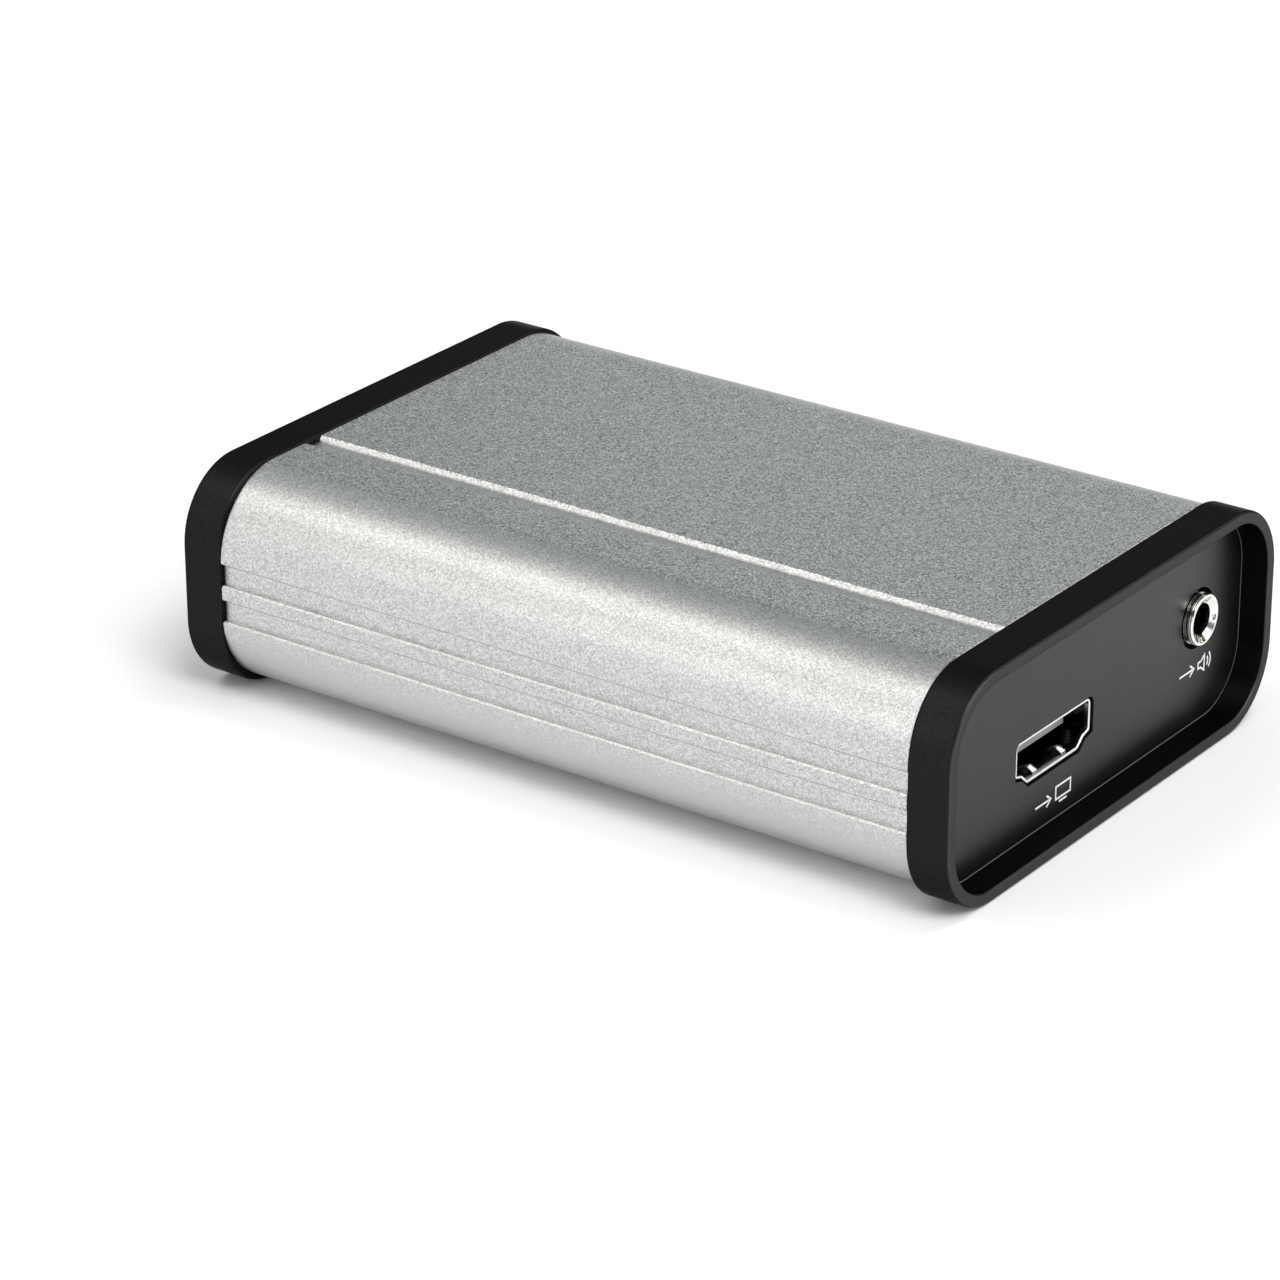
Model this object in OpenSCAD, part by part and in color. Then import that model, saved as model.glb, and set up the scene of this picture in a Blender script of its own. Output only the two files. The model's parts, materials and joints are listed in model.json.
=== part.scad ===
// Video capture box: an aluminium sleeve with a moulded bezel and panel at each end.
// The circuit board slides into rails in the sleeve, and its sockets reach through the panels.
// X runs along the sleeve with the input sockets at +X, Z is up, and the bezels stand on Z = 0.

/* [Case] */
// Length over both bezels
case_l = 98.9; // [94:0.1:125]
// Width of the bezels
case_w = 65; // [63:0.5:80]
// Height of the bezels
case_h = 25.9; // [25:0.1:34]
// Corner radius of the bezels
case_r = 8.55; // [7.5:0.05:9.5]

/* [Sleeve] */
// How far the sleeve lies inside the bezels at its sides and top
sleeve_inset = 0.2; // [0.1:0.05:0.5]
// Height of the sleeve's underside above the table
sleeve_lift = 0.5; // [0.3:0.05:0.9]
// Outer corner radius of the sleeve
sleeve_r = 9.4; // [8.6:0.05:10]
// Wall thickness of the sleeve
sleeve_wall = 2.2; // [2:0.05:2.6]
// Width of each groove along the sides
groove_w = 2.4; // [1:0.1:3]
// Depth of the side grooves and the accent groove
groove_depth = 0.55; // [0.2:0.05:0.8]
// Distance between the centres of the two grooves of a side
groove_pitch = 4.25; // [3.4:0.05:5]
// Chamfer of the grooves' upright lips
groove_lip = 0.2; // [0.05:0.05:0.25]
// Distance from the middle of the top to the upright wall of the accent groove
accent_y = 15.1; // [8:0.1:18]
// Width of the accent groove at the surface
accent_w = 2.45; // [1.6:0.05:3.5]
// Width of the accent groove's sloping side
accent_slope = 1.05; // [0.4:0.05:1.4]
// Share of the accent groove's upright wall that is chamfered
accent_lip_share = 0.8; // [0.2:0.1:0.9]
// Thickness of the rails that hold the board
rail_t = 1.3; // [1:0.1:1.6]
// How far the rails reach over the board's edges
rail_grip = 1.4; // [1:0.1:1.8]

/* [Bezels] */
// Depth of a bezel along the case
bezel_d = 5.1; // [4.8:0.05:6.5]
// Thickness of the bezel's wall round the recess
bezel_wall = 1.45; // [1.2:0.05:1.6]
// Depth of the panel's face behind the front of the bezel
bezel_recess = 3.2; // [2:0.05:3.4]
// Rounding of the bezel's outer edges
bezel_round = 0.4; // [0.1:0.05:0.6]
// Rounding of the front edge of the recess
lip_round = 0.25; // [0.1:0.05:0.5]

/* [Panels] */
// Thickness of a panel
panel_t = 1; // [0.8:0.05:1.3]
// Gap between a panel and the bezel round it
panel_gap = 0.12; // [0.05:0.01:0.2]
// Chamfer of a panel's front edge
panel_chamfer = 0.15; // [0.05:0.05:0.3]
// Distance of the snap legs from the middle of the panel
leg_y = 17.5; // [15:0.5:18]
// Width of a snap leg
leg_w = 9; // [5:0.5:10]
// Length of a snap leg behind the panel
leg_l = 8; // [6:0.1:10]
// Thickness of a snap leg
leg_t = 1.2; // [0.8:0.1:1.5]
// Height of a snap leg's hook
hook_h = 0.6; // [0.4:0.05:0.8]
// Length of a snap leg's hook
hook_l = 2.4; // [1.5:0.1:3]

/* [Board] */
// Height of the board's upper face above the table
board_z = 7.65; // [7.2:0.05:8.5]
// Thickness of the board
board_t = 1.6; // [1:0.1:1.6]

/* [Video socket] */
// Distance of the video socket from the middle of the panel
video_y = -7.2; // [-9:0.1:-4]
// Width of the video socket's mouth
video_w = 14; // [13.9:0.05:14.2]
// Height of the video socket's mouth
video_h = 4.55; // [4.5:0.05:4.7]
// Width of the mouth along its lower edge
video_base_w = 9.7; // [9.4:0.1:10.4]
// Height of the shoulders of the mouth above its lower edge
video_shoulder = 1.3; // [1.2:0.05:1.5]
// Length of the video socket
video_l = 11.5; // [10:0.1:13]
// Thickness of the socket shells' sheet metal
shell_t = 0.35; // [0.25:0.05:0.4]
// Width of the tongue in the video socket
video_tongue_w = 11.7; // [11:0.1:12]

/* [Audio jack] */
// Distance of the jack's axis from the side of the case
jack_edge = 10.8; // [10.8:0.1:14]
// Height of the jack's axis above the board
jack_rise = 6.3; // [5.5:0.05:7]
// Radius of the jack's bore
jack_bore_r = 1.8; // [1.76:0.01:1.85]
// Outer radius of the jack's barrel
jack_barrel_r = 2.9; // [2.75:0.05:3]
// How far the barrel stands out of the panel
jack_reach = 0.9; // [0.4:0.1:1.6]
// Gap between the barrel and the hole in the panel
jack_hole_gap = 0.55; // [0.3:0.05:0.7]
// Width of the jack's housing
jack_housing_w = 9.6; // [8:0.1:9.6]
// Length of the jack's housing
jack_housing_l = 14; // [13.5:0.1:16]

/* [Data socket] */
// Distance of the data socket from the middle of the panel
data_y = 0; // [-8:0.5:8]
// Width of the data socket's mouth
data_w = 8.34; // [8.3:0.01:8.4]
// Height of the data socket's mouth
data_h = 2.56; // [2.5:0.01:2.6]
// Length of the data socket
data_l = 7.35; // [7:0.05:8]

/* [Status light] */
// Distance of the status light from the middle of the panel
light_y = -14; // [-18:0.5:-10]
// Radius of the light pipe
light_r = 1.3; // [1:0.05:1.4]

/* [Cooling] */
// Width and length of the capture processor
processor_w = 17; // [14:0.5:19]
// Width and length of the heat sink
sink_w = 25; // [21:0.5:25]
// Height of the heat sink
sink_h = 8; // [5:0.1:8.5]
// Number of fins on the heat sink
sink_fins = 8; // [4:1:9]

/* [Hidden] */
$fn = 64;
arc_steps = 5;
// A cut runs this far past the face that it opens
cut_over = 1;

// Places along the case
panel_x = case_l / 2 - bezel_recess;
panel_back_x = panel_x - panel_t;
sleeve_l = case_l - 2 * bezel_d;
flange_t = bezel_d - bezel_recess - panel_t;

// The sleeve's section and the cavity in it
sleeve_w = case_w - 2 * sleeve_inset;
sleeve_top = case_h - sleeve_inset;
cavity_w = sleeve_w - 2 * sleeve_wall;
cavity_floor = sleeve_lift + sleeve_wall;
cavity_roof = sleeve_top - sleeve_wall;
cavity_r = sleeve_r - sleeve_wall;
// The bezel's flange stops this far outside the cavity
flange_step = 0.05;
flange_w = sleeve_inset + sleeve_wall - bezel_wall - flange_step;

// Snap legs and the pockets that their hooks catch in
leg_gap = 0.15;
pocket_gap = 0.1;

// The board rests on the lower rails, with room above it and at its edges
board_gap = 0.3;
rail_gap = 0.2;
board_end_gap = 0.6;
board_under = board_z - board_t;
board_l = 2 * (panel_back_x - board_end_gap);
board_w = 2 * (cavity_half(board_under) - board_gap);
rail_tip = board_w / 2 - rail_grip;
// Room round a pin or leg in its hole in the board
pin_gap = 0.15;
// How far pins and legs reach below the board
pin_reach = 0.8;

// The video socket
video_set_back = 0.2;
video_x = panel_x - video_set_back;
video_z = board_z + shell_t;
video_step = 1;
video_step_drop = 0.28;
video_cut_gap = 0.25;
video_corner_r = 0.5;
video_tongue_t = 0.75;
video_tongue_z = 1.75;
video_tongue_depth = 2.4;
video_block_l = 4;
video_contact_pitch = 1;
video_contact_w = 0.4;
video_upper_contacts = 10;
video_lower_contacts = 9;
video_rows = [[video_upper_contacts, 1], [video_lower_contacts, -1]];
video_leg_x = [4, 9.5];
video_leg_l = 1.2;
video_spring_y = 2.8;
video_spring_w = 0.9;
video_spring_rise = 0.45;
video_spring_front = 0.35;
video_spring_l = 2;
// A spring leaf lies flat on the floor over its first part, and its tip turns down over the last
video_spring_flat = 0.55;
video_spring_tip = 0.6;
video_spring_drop = 0.3;
// Gap between an insulator and the walls and roof of its shell
block_gap = 0.05;
contact_t = 0.12;
// Room round a contact in the insulator's channel
channel_gap = 0.03;
tail_drop = 0.6;
tail_foot = 0.9;

// The audio jack
jack_y = case_w / 2 - jack_edge;
jack_z = board_z + jack_rise;
jack_front_gap = 0.4;
jack_housing_x = panel_back_x - jack_front_gap;
jack_housing_top = 4.8;
jack_tail_r = 2.5;
jack_tail_l = 3.5;
jack_tail_gap = 0.05;
jack_mouth_r = 2.55;
jack_mouth_d = 0.75;
jack_ring_w = 0.5;
jack_ring_groove = 0.25;
// Spanner notches in the cone of the jack's mouth
jack_notches = 4;
jack_notch_turn = -12;
jack_notch_w = 0.5;
jack_notch_d = 0.55;
jack_notch_r = 2.35;
jack_channel_l = 12.2;
jack_spring_t = 0.3;
jack_spring_l = 2;
jack_spring_x = [3, 7.5, 12];
jack_spring_drop = 1;

// The data socket, in the mirrored frame of the output end
data_set_back = 0.2;
data_x = panel_x - data_set_back;
data_z = board_z + shell_t + data_h / 2;
data_cut_gap = 0.2;
data_tongue_w = 6.69;
data_tongue_t = 0.7;
data_tongue_depth = 0.6;
data_block_l = 2.4;
data_contacts = 12;
data_contact_pitch = 0.5;
data_contact_w = 0.25;
data_contact_t = 0.08;
data_leg_x = [2.2, 5.8];
data_leg_l = 0.9;

// The status light, in the mirrored frame of the output end
light_gap = 0.1;
light_flange_w = 0.5;
light_flange_r = light_r + light_flange_w;
light_flange_t = 0.6;
light_tail_l = 0.4;
light_z = board_z + light_flange_r + light_gap;
led_l = 1.8;
led_w = 3;
led_air = 0.2;
light_l = panel_t + light_flange_t + light_tail_l;

// Chips: width, length and height
processor_h = 1.6;
pad_t = 0.5;
sink_base = 1.6;
sink_fin_t = 1;
receiver_size = [12, 12, 1.1];
bridge_size = [9, 9, 0.9];
memory_size = [9, 11.5, 1.1];
converter_size = [6, 6, 0.9];
firmware_size = [5, 4, 1.5];
crystal_size = [3.2, 2.5, 0.8];
inductor_size = [6, 6, 3];
chip_corner = 0.4;
// Gap left between neighbouring parts on the board
part_gap = 2.5;
edge_gap = 0.6;
receiver_x = video_x - video_l - tail_drop - tail_foot - part_gap - receiver_size.x / 2;
bridge_x = data_x - data_l - tail_drop - tail_foot - part_gap - bridge_size.x / 2;
memory_y = rail_tip - edge_gap - memory_size.y / 2;
converter_x = jack_housing_x - jack_housing_l - part_gap - converter_size.x / 2;
capacitor_r = 3.15;
capacitor_h = 5.8;
capacitor_base_h = 1;
capacitor_base_w = 6.6;
capacitor_pitch = 7.4;
capacitor_count = 3;
capacitor_y = rail_tip - edge_gap - capacitor_base_w / 2;
capacitor_end_gap = 13;
capacitor_x = panel_x - capacitor_end_gap;
chip_cap_size = [1, 0.5, 0.5];
chip_cap_pitch = 1.6;
chip_cap_count = 7;

// Half the width of the sleeve's cavity at height z
function cavity_half(z) =
    let (
        low = cavity_floor + cavity_r - z,
        high = z - cavity_roof + cavity_r,
        over = max(low, high, 0)
    )
    cavity_w / 2 - cavity_r + sqrt(cavity_r * cavity_r - over * over);

function unit(v) = v / norm(v);

// Points of the fillet of radius r at corner p, between the points before and after it
function corner_arc(p, before, after, r) =
    r == 0 ? [p] :
    let (
        u = unit(before - p),
        v = unit(after - p),
        half = acos(u * v) / 2,
        centre = p + unit(u + v) * r / sin(half),
        start = p + u * r / tan(half) - centre,
        angle = atan2(start.y, start.x),
        sweep = (180 - 2 * half) * sign(cross(u, start))
    )
    [
        for (i = [0 : arc_steps])
            let (a = angle + sweep * i / arc_steps)
            centre + r * [cos(a), sin(a)]
    ];

// An outline with the corner of each point rounded by its own radius
function rounded(points, radii) =
    let (n = len(points))
    [
        for (i = [0 : n - 1])
            each corner_arc(points[i], points[(i + n - 1) % n], points[(i + 1) % n], radii[i])
    ];

function edge_normal(a, b) = unit([b.y - a.y, a.x - b.x]);

// A counter-clockwise outline with every edge moved outwards by g
function grown(points, g) =
    let (n = len(points))
    [
        for (i = [0 : n - 1])
            let (
                m = edge_normal(points[(i + n - 1) % n], points[i]),
                k = edge_normal(points[i], points[(i + 1) % n])
            )
            points[i] + g * (m + k) / (1 + m * k)
    ];

// The video socket's mouth in Y and Z, from the middle of its lower edge
video_mouth = [
    [-video_base_w / 2, 0],
    [video_base_w / 2, 0],
    [video_w / 2 - video_step, video_shoulder - video_step_drop],
    [video_w / 2, video_shoulder],
    [video_w / 2, video_h],
    [-video_w / 2, video_h],
    [-video_w / 2, video_shoulder],
    [video_step - video_w / 2, video_shoulder - video_step_drop]
];
// Only the two upper corners of the mouth are rounded
function video_radii(r) = [0, 0, 0, 0, r, r, 0, 0];

// Extrudes a section drawn in Y and Z from x0 to x1
module along_x(x0, x1) {
    translate([x0, 0, 0]) rotate([90, 0, 90]) linear_extrude(x1 - x0) children();
}

// Extrudes a section drawn in X and Z, centred on y, over a width w
module along_y(y, w) {
    translate([0, y + w / 2, 0]) rotate([90, 0, 0]) linear_extrude(w) children();
}

module round_rect(w, low, high, r) {
    h = high - low;
    translate([0, (low + high) / 2]) {
        square([w - 2 * r, h], center = true);
        square([w, h - 2 * r], center = true);
        for (y = [-1, 1], z = [-1, 1]) translate([y * (w / 2 - r), z * (h / 2 - r)]) circle(r);
    }
}

module box(low, high) {
    translate(low) cube(high - low);
}

module at_output_end() {
    mirror([1, 0, 0]) children();
}

// Carries a section round a rounded rectangle of the bezel's outer size.
// The section's first axis is the distance from the corner's centre and its second is along X.
module round_bezel(x0) {
    runs = [case_w - 2 * case_r, case_h - 2 * case_r];
    translate([x0, 0, case_h / 2]) rotate([90, 0, 90])
        for (i = [0 : 3]) {
            side = [[1, 1], [-1, 1], [-1, -1], [1, -1]][i];
            translate([side.x * runs.x / 2, side.y * runs.y / 2]) {
                rotate(90 * i) rotate_extrude(angle = 90) children();
                rotate(90 * (i + 1)) translate([0, runs[i % 2], 0]) rotate([90, 0, 0])
                    linear_extrude(runs[i % 2]) children();
            }
        }
}

module sleeve_outline() {
    round_rect(sleeve_w, sleeve_lift, sleeve_top, sleeve_r);
}

// Two grooves along each side, cut from outside the sleeve's face
module side_grooves() {
    edge = groove_w / 2;
    flare = edge + groove_lip + cut_over;
    outline = [
        [cut_over, -flare],
        [-groove_lip, -edge],
        [-groove_depth, -edge],
        [-groove_depth, edge],
        [-groove_lip, edge],
        [cut_over, flare]
    ];
    for (side = [-1, 1], row = [-1, 1])
        translate([0, case_h / 2 + row * groove_pitch / 2])
            polygon([for (p = outline) [side * (sleeve_w / 2 + p.x), p.y]]);
}

module accent_groove() {
    outer = -accent_y - accent_w;
    floor_z = sleeve_top - groove_depth;
    lip = accent_lip_share * groove_depth;
    polygon([
        [lip + cut_over - accent_y, sleeve_top + cut_over],
        [outer, sleeve_top + cut_over],
        [outer, sleeve_top],
        [outer + accent_slope, floor_z],
        [-accent_y, floor_z],
        [-accent_y, sleeve_top - lip]
    ]);
}

module rails() {
    reach = sleeve_w / 2 - rail_tip;
    intersection() {
        round_rect(cavity_w + sleeve_wall, sleeve_lift + sleeve_wall / 2, sleeve_top - sleeve_wall / 2,
            cavity_r + sleeve_wall / 2);
        for (side = [-1, 1], z = [board_z + rail_gap, board_under - rail_t])
            translate([side > 0 ? rail_tip : -rail_tip - reach, z]) square([reach, rail_t]);
    }
}

module sleeve_section() {
    difference() {
        sleeve_outline();
        round_rect(cavity_w, cavity_floor, cavity_roof, cavity_r);
        side_grooves();
        accent_groove();
    }
    rails();
}

// Places its children at the four snap legs, with Z pointing at the sleeve's wall
module at_legs() {
    for (side = [-1, 1]) {
        translate([panel_back_x, side * leg_y, cavity_roof]) children();
        translate([panel_back_x, side * leg_y, cavity_floor]) mirror([0, 0, 1]) children();
    }
}

module hook_pocket() {
    depth = hook_h - leg_gap + pocket_gap;
    box(
        [-leg_l - pocket_gap, -leg_w / 2 - pocket_gap, -cut_over],
        [hook_l - leg_l, leg_w / 2 + pocket_gap, depth]
    );
}

module snap_leg() {
    along_y(0, leg_w) translate([0, -leg_gap]) polygon([
        [0, 0],
        [hook_l - leg_l, 0],
        [hook_l - leg_l, hook_h],
        [-leg_l, 0],
        [-leg_l, -leg_t],
        [0, -leg_t]
    ]);
}

module sleeve() {
    color([0.74, 0.74, 0.72]) difference() {
        along_x(-sleeve_l / 2, sleeve_l / 2) sleeve_section();
        at_legs() hook_pocket();
        at_output_end() at_legs() hook_pocket();
    }
}

module bezel_section() {
    inner = case_r - bezel_wall;
    polygon(rounded(
        [
            [inner - flange_w, 0],
            [case_r, 0],
            [case_r, bezel_d],
            [inner, bezel_d],
            [inner, flange_t],
            [inner - flange_w, flange_t]
        ],
        [0, bezel_round, bezel_round, lip_round, 0, 0]
    ));
}

module bezel() {
    color([0.06, 0.06, 0.065]) round_bezel(case_l / 2 - bezel_d) bezel_section();
}

module input_bezel() {
    bezel();
}

module output_bezel() {
    at_output_end() bezel();
}

// The plate of a panel with its chamfered front edge and its snap legs
module panel() {
    edge = bezel_wall + panel_gap;
    edge_r = case_r - edge;
    difference() {
        along_x(panel_back_x, panel_x) round_rect(case_w - 2 * edge, edge, case_h - edge, edge_r);
        round_bezel(panel_x) polygon([
            [edge_r - panel_chamfer, 0],
            [edge_r + panel_gap / 2, 0],
            [edge_r + panel_gap / 2, -panel_chamfer],
            [edge_r, -panel_chamfer]
        ]);
    }
    at_legs() snap_leg();
}

module at_jack(x) {
    translate([x, jack_y, jack_z]) rotate([0, 90, 0]) children();
}

module at_video() {
    translate([0, video_y, video_z]) children();
}

module input_panel() {
    room = shell_t + video_cut_gap;
    cut = rounded(grown(video_mouth, room), video_radii(video_corner_r + room));
    color([0.1, 0.1, 0.105]) difference() {
        panel();
        at_video() along_x(panel_back_x - cut_over, panel_x + cut_over) polygon(cut);
        at_jack(panel_back_x - cut_over)
            cylinder(r = jack_barrel_r + jack_hole_gap, h = panel_t + 2 * cut_over);
    }
}

module data_outline(grow) {
    r = data_h / 2 + grow;
    square([data_w - data_h, 2 * r], center = true);
    for (side = [-1, 1]) translate([side * (data_w - data_h) / 2, 0]) circle(r);
}

module at_data() {
    at_output_end() translate([0, data_y, data_z]) children();
}

module at_light(x) {
    at_output_end() translate([x, light_y, light_z]) rotate([0, 90, 0]) children();
}

module output_panel() {
    color([0.1, 0.1, 0.105]) difference() {
        at_output_end() panel();
        at_data() along_x(panel_back_x - cut_over, panel_x + cut_over) data_outline(shell_t + data_cut_gap);
        at_light(panel_back_x - cut_over) cylinder(r = light_r + light_gap, h = panel_t + 2 * cut_over);
    }
}

module main_board() {
    color([0.05, 0.2, 0.1]) difference() {
        box([-board_l / 2, -board_w / 2, board_under], [board_l / 2, board_w / 2, board_z]);
        video_legs(pin_gap);
        jack_pins(pin_gap);
        data_legs(pin_gap);
    }
}

// Legs of the video socket's shell, with room round them when they are cut out of the board
module video_legs(room) {
    out = video_w / 2 + shell_t;
    for (side = [-1, 1], x = video_leg_x)
        translate([video_x - x, video_y + side * (out - shell_t / 2), 0]) box(
            [-video_leg_l / 2 - room, -shell_t / 2 - room, board_under - pin_reach],
            [video_leg_l / 2 + room, shell_t / 2 + room, video_z + video_shoulder + video_leg_l]
        );
}

module video_socket_shell() {
    outer = rounded(grown(video_mouth, shell_t), video_radii(video_corner_r + shell_t));
    color([0.8, 0.8, 0.8]) {
        at_video() along_x(video_x - video_l, video_x) difference() {
            polygon(outer);
            polygon(rounded(video_mouth, video_radii(video_corner_r)));
        }
        video_legs(0);
    }
}

// Section of one contact in X and Z: a strip from x0 back to x1, then a tail down to the board.
// The strip's lower face is at z and the tail's foot reaches back along the board.
module contact_section(x0, x1, z, t, foot_z) {
    polygon([
        [x0, z],
        [x0, z + t],
        [x1 - t, z + t],
        [x1 - t, foot_z + t],
        [x1 - tail_foot, foot_z + t],
        [x1 - tail_foot, foot_z],
        [x1, foot_z],
        [x1, z]
    ]);
}

// Lower face of a contact that lies on the upper (side 1) or lower (side -1) face of a tongue
function contact_z(low, thick, side, t) = side > 0 ? low + thick : low - t;

function row_y(i, count, pitch) = (i - (count - 1) / 2) * pitch;

module video_socket_insulator() {
    block_x = video_x - video_l;
    color([0.6, 0.6, 0.6]) at_video() difference() {
        union() {
            translate([0, 0, -block_gap]) along_x(block_x, block_x + video_block_l)
                polygon(rounded(grown(video_mouth, -block_gap), video_radii(video_corner_r)));
            box(
                [block_x + video_block_l, -video_tongue_w / 2, video_tongue_z],
                [video_x - video_tongue_depth, video_tongue_w / 2, video_tongue_z + video_tongue_t]
            );
        }
        for (row = video_rows, i = [0 : row[0] - 1]) {
            z = contact_z(video_tongue_z, video_tongue_t, row[1], contact_t);
            y = row_y(i, row[0], video_contact_pitch);
            w = video_contact_w / 2 + channel_gap;
            low = row[1] > 0 ? z : z - channel_gap;
            high = row[1] > 0 ? z + contact_t + channel_gap : z + contact_t;
            box([block_x - cut_over, y - w, low], [block_x + video_block_l, y + w, high]);
        }
    }
}

module video_socket_contacts() {
    start = video_x - video_tongue_depth - contact_t;
    color([0.85, 0.7, 0.35]) for (row = video_rows, i = [0 : row[0] - 1])
        along_y(video_y + row_y(i, row[0], video_contact_pitch), video_contact_w) contact_section(
            start,
            video_x - video_l - tail_drop,
            video_z + contact_z(video_tongue_z, video_tongue_t, row[1], contact_t),
            contact_t,
            board_z
        );
}

// Spring leaves that rise from the floor of the video socket and press on the plug
module video_socket_springs() {
    back = video_x - video_spring_front - video_spring_l;
    crest = video_spring_l - video_spring_tip;
    color([0.85, 0.85, 0.85]) for (side = [-1, 1])
        along_y(video_y + side * video_spring_y, video_spring_w) translate([back, video_z]) polygon([
            [0, 0],
            [video_spring_flat, 0],
            [crest, video_spring_rise - contact_t],
            [video_spring_l, video_spring_rise - video_spring_drop - contact_t],
            [video_spring_l, video_spring_rise - video_spring_drop],
            [crest, video_spring_rise],
            [0, contact_t]
        ]);
}

module audio_jack_barrel() {
    front = jack_front_gap + panel_t + jack_reach;
    waist = jack_barrel_r - jack_ring_groove;
    color([0.82, 0.81, 0.78]) at_jack(jack_housing_x) difference() {
        rotate_extrude() polygon([
            [jack_bore_r, -jack_tail_l],
            [jack_tail_r, -jack_tail_l],
            [jack_tail_r, 0],
            [jack_barrel_r, 0],
            [jack_barrel_r, front - 3 * jack_ring_w],
            [waist, front - 3 * jack_ring_w],
            [waist, front - 2 * jack_ring_w],
            [jack_barrel_r, front - 2 * jack_ring_w],
            [jack_barrel_r, front - jack_ring_w / 2],
            [jack_barrel_r - jack_ring_w / 4, front],
            [jack_mouth_r, front],
            [jack_bore_r, front - jack_mouth_d]
        ]);
        for (i = [0 : jack_notches - 1]) rotate(jack_notch_turn + 360 * i / jack_notches) box(
            [0, -jack_notch_w / 2, front - jack_notch_d],
            [jack_notch_r, jack_notch_w / 2, front + cut_over]
        );
    }
}

module audio_jack_housing() {
    color([0.07, 0.07, 0.07]) difference() {
        box(
            [jack_housing_x - jack_housing_l, jack_y - jack_housing_w / 2, board_z],
            [jack_housing_x, jack_y + jack_housing_w / 2, jack_z + jack_housing_top]
        );
        at_jack(jack_housing_x - jack_tail_l)
            cylinder(r = jack_tail_r + jack_tail_gap, h = jack_tail_l + cut_over);
        at_jack(jack_housing_x - jack_channel_l) cylinder(r = jack_bore_r, h = jack_channel_l);
    }
}

// Pins of the jack's springs, with room round them when they are cut out of the board
module jack_pins(room) {
    for (side = [-1, 1], x = jack_spring_x)
        translate([jack_housing_x - x, jack_y + side * (jack_housing_w + jack_spring_t) / 2, 0]) box(
            [-jack_spring_l / 2 - room, -jack_spring_t / 2 - room, board_under - pin_reach],
            [jack_spring_l / 2 + room, jack_spring_t / 2 + room, jack_z - jack_spring_drop]
        );
}

module audio_jack_contacts() {
    color([0.8, 0.78, 0.7]) jack_pins(0);
}

module data_legs(room) {
    out = data_w / 2 + shell_t;
    at_output_end() for (side = [-1, 1], x = data_leg_x)
        translate([data_x - x, data_y + side * (out - shell_t / 2), 0]) box(
            [-data_leg_l / 2 - room, -shell_t / 2 - room, board_under - pin_reach],
            [data_leg_l / 2 + room, shell_t / 2 + room, data_z]
        );
}

module data_socket_shell() {
    color([0.78, 0.78, 0.79]) {
        at_data() along_x(data_x - data_l, data_x) difference() {
            data_outline(shell_t);
            data_outline(0);
        }
        data_legs(0);
    }
}

module data_socket_insulator() {
    block_x = data_x - data_l;
    color([0.1, 0.1, 0.1]) at_data() difference() {
        union() {
            translate([0, 0, -block_gap]) along_x(block_x, block_x + data_block_l) data_outline(-block_gap);
            box(
                [block_x + data_block_l, -data_tongue_w / 2, -data_tongue_t / 2],
                [data_x - data_tongue_depth, data_tongue_w / 2, data_tongue_t / 2]
            );
        }
        for (side = [-1, 1], i = [0 : data_contacts - 1]) {
            z = contact_z(-data_tongue_t / 2, data_tongue_t, side, data_contact_t);
            y = row_y(i, data_contacts, data_contact_pitch);
            w = data_contact_w / 2 + channel_gap;
            low = side > 0 ? z : z - channel_gap;
            high = side > 0 ? z + data_contact_t + channel_gap : z + data_contact_t;
            box([block_x - cut_over, y - w, low], [block_x + data_block_l, y + w, high]);
        }
    }
}

// The upper row's tails come down behind those of the lower row
module data_socket_contacts() {
    start = data_x - data_tongue_depth - tail_drop;
    color([0.85, 0.7, 0.35]) at_output_end() for (side = [-1, 1], i = [0 : data_contacts - 1])
        along_y(data_y + row_y(i, data_contacts, data_contact_pitch), data_contact_w) contact_section(
            start,
            data_x - data_l - tail_drop / 2 - (side > 0 ? tail_foot + tail_drop / 2 : 0),
            data_z + contact_z(-data_tongue_t / 2, data_tongue_t, side, data_contact_t),
            data_contact_t,
            board_z
        );
}

// A chip on the board, with a bevelled corner that marks its first terminal
module chip(x, y, size) {
    translate([x - size.x / 2, y - size.y / 2, board_z]) linear_extrude(size.z) polygon([
        [chip_corner, 0],
        [size.x, 0],
        [size.x, size.y],
        [0, size.y],
        [0, chip_corner]
    ]);
}

module capture_processor() {
    color([0.13, 0.13, 0.14]) chip(0, 0, [processor_w, processor_w, processor_h]);
}

module thermal_pad() {
    low = board_z + processor_h;
    inset = processor_w / 2 - chip_corner;
    color([0.55, 0.6, 0.7]) box([-inset, -inset, low], [inset, inset, low + pad_t]);
}

module heat_sink() {
    low = board_z + processor_h + pad_t;
    pitch = (sink_w - sink_fin_t) / (sink_fins - 1);
    color([0.2, 0.2, 0.21]) along_x(-sink_w / 2, sink_w / 2) {
        translate([-sink_w / 2, low]) square([sink_w, sink_base]);
        for (i = [0 : sink_fins - 1]) translate([i * pitch - sink_w / 2, low]) square([sink_fin_t, sink_h]);
    }
}

module video_receiver() {
    color([0.12, 0.12, 0.13]) chip(receiver_x, video_y, receiver_size);
}

module data_bridge() {
    color([0.12, 0.12, 0.13]) chip(-bridge_x, data_y, bridge_size);
}

module memory_chips() {
    color([0.1, 0.1, 0.11]) for (side = [-1, 1]) chip(0, side * memory_y, memory_size);
}

module audio_converter() {
    color([0.12, 0.12, 0.13]) chip(converter_x, jack_y - part_gap, converter_size);
}

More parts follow.
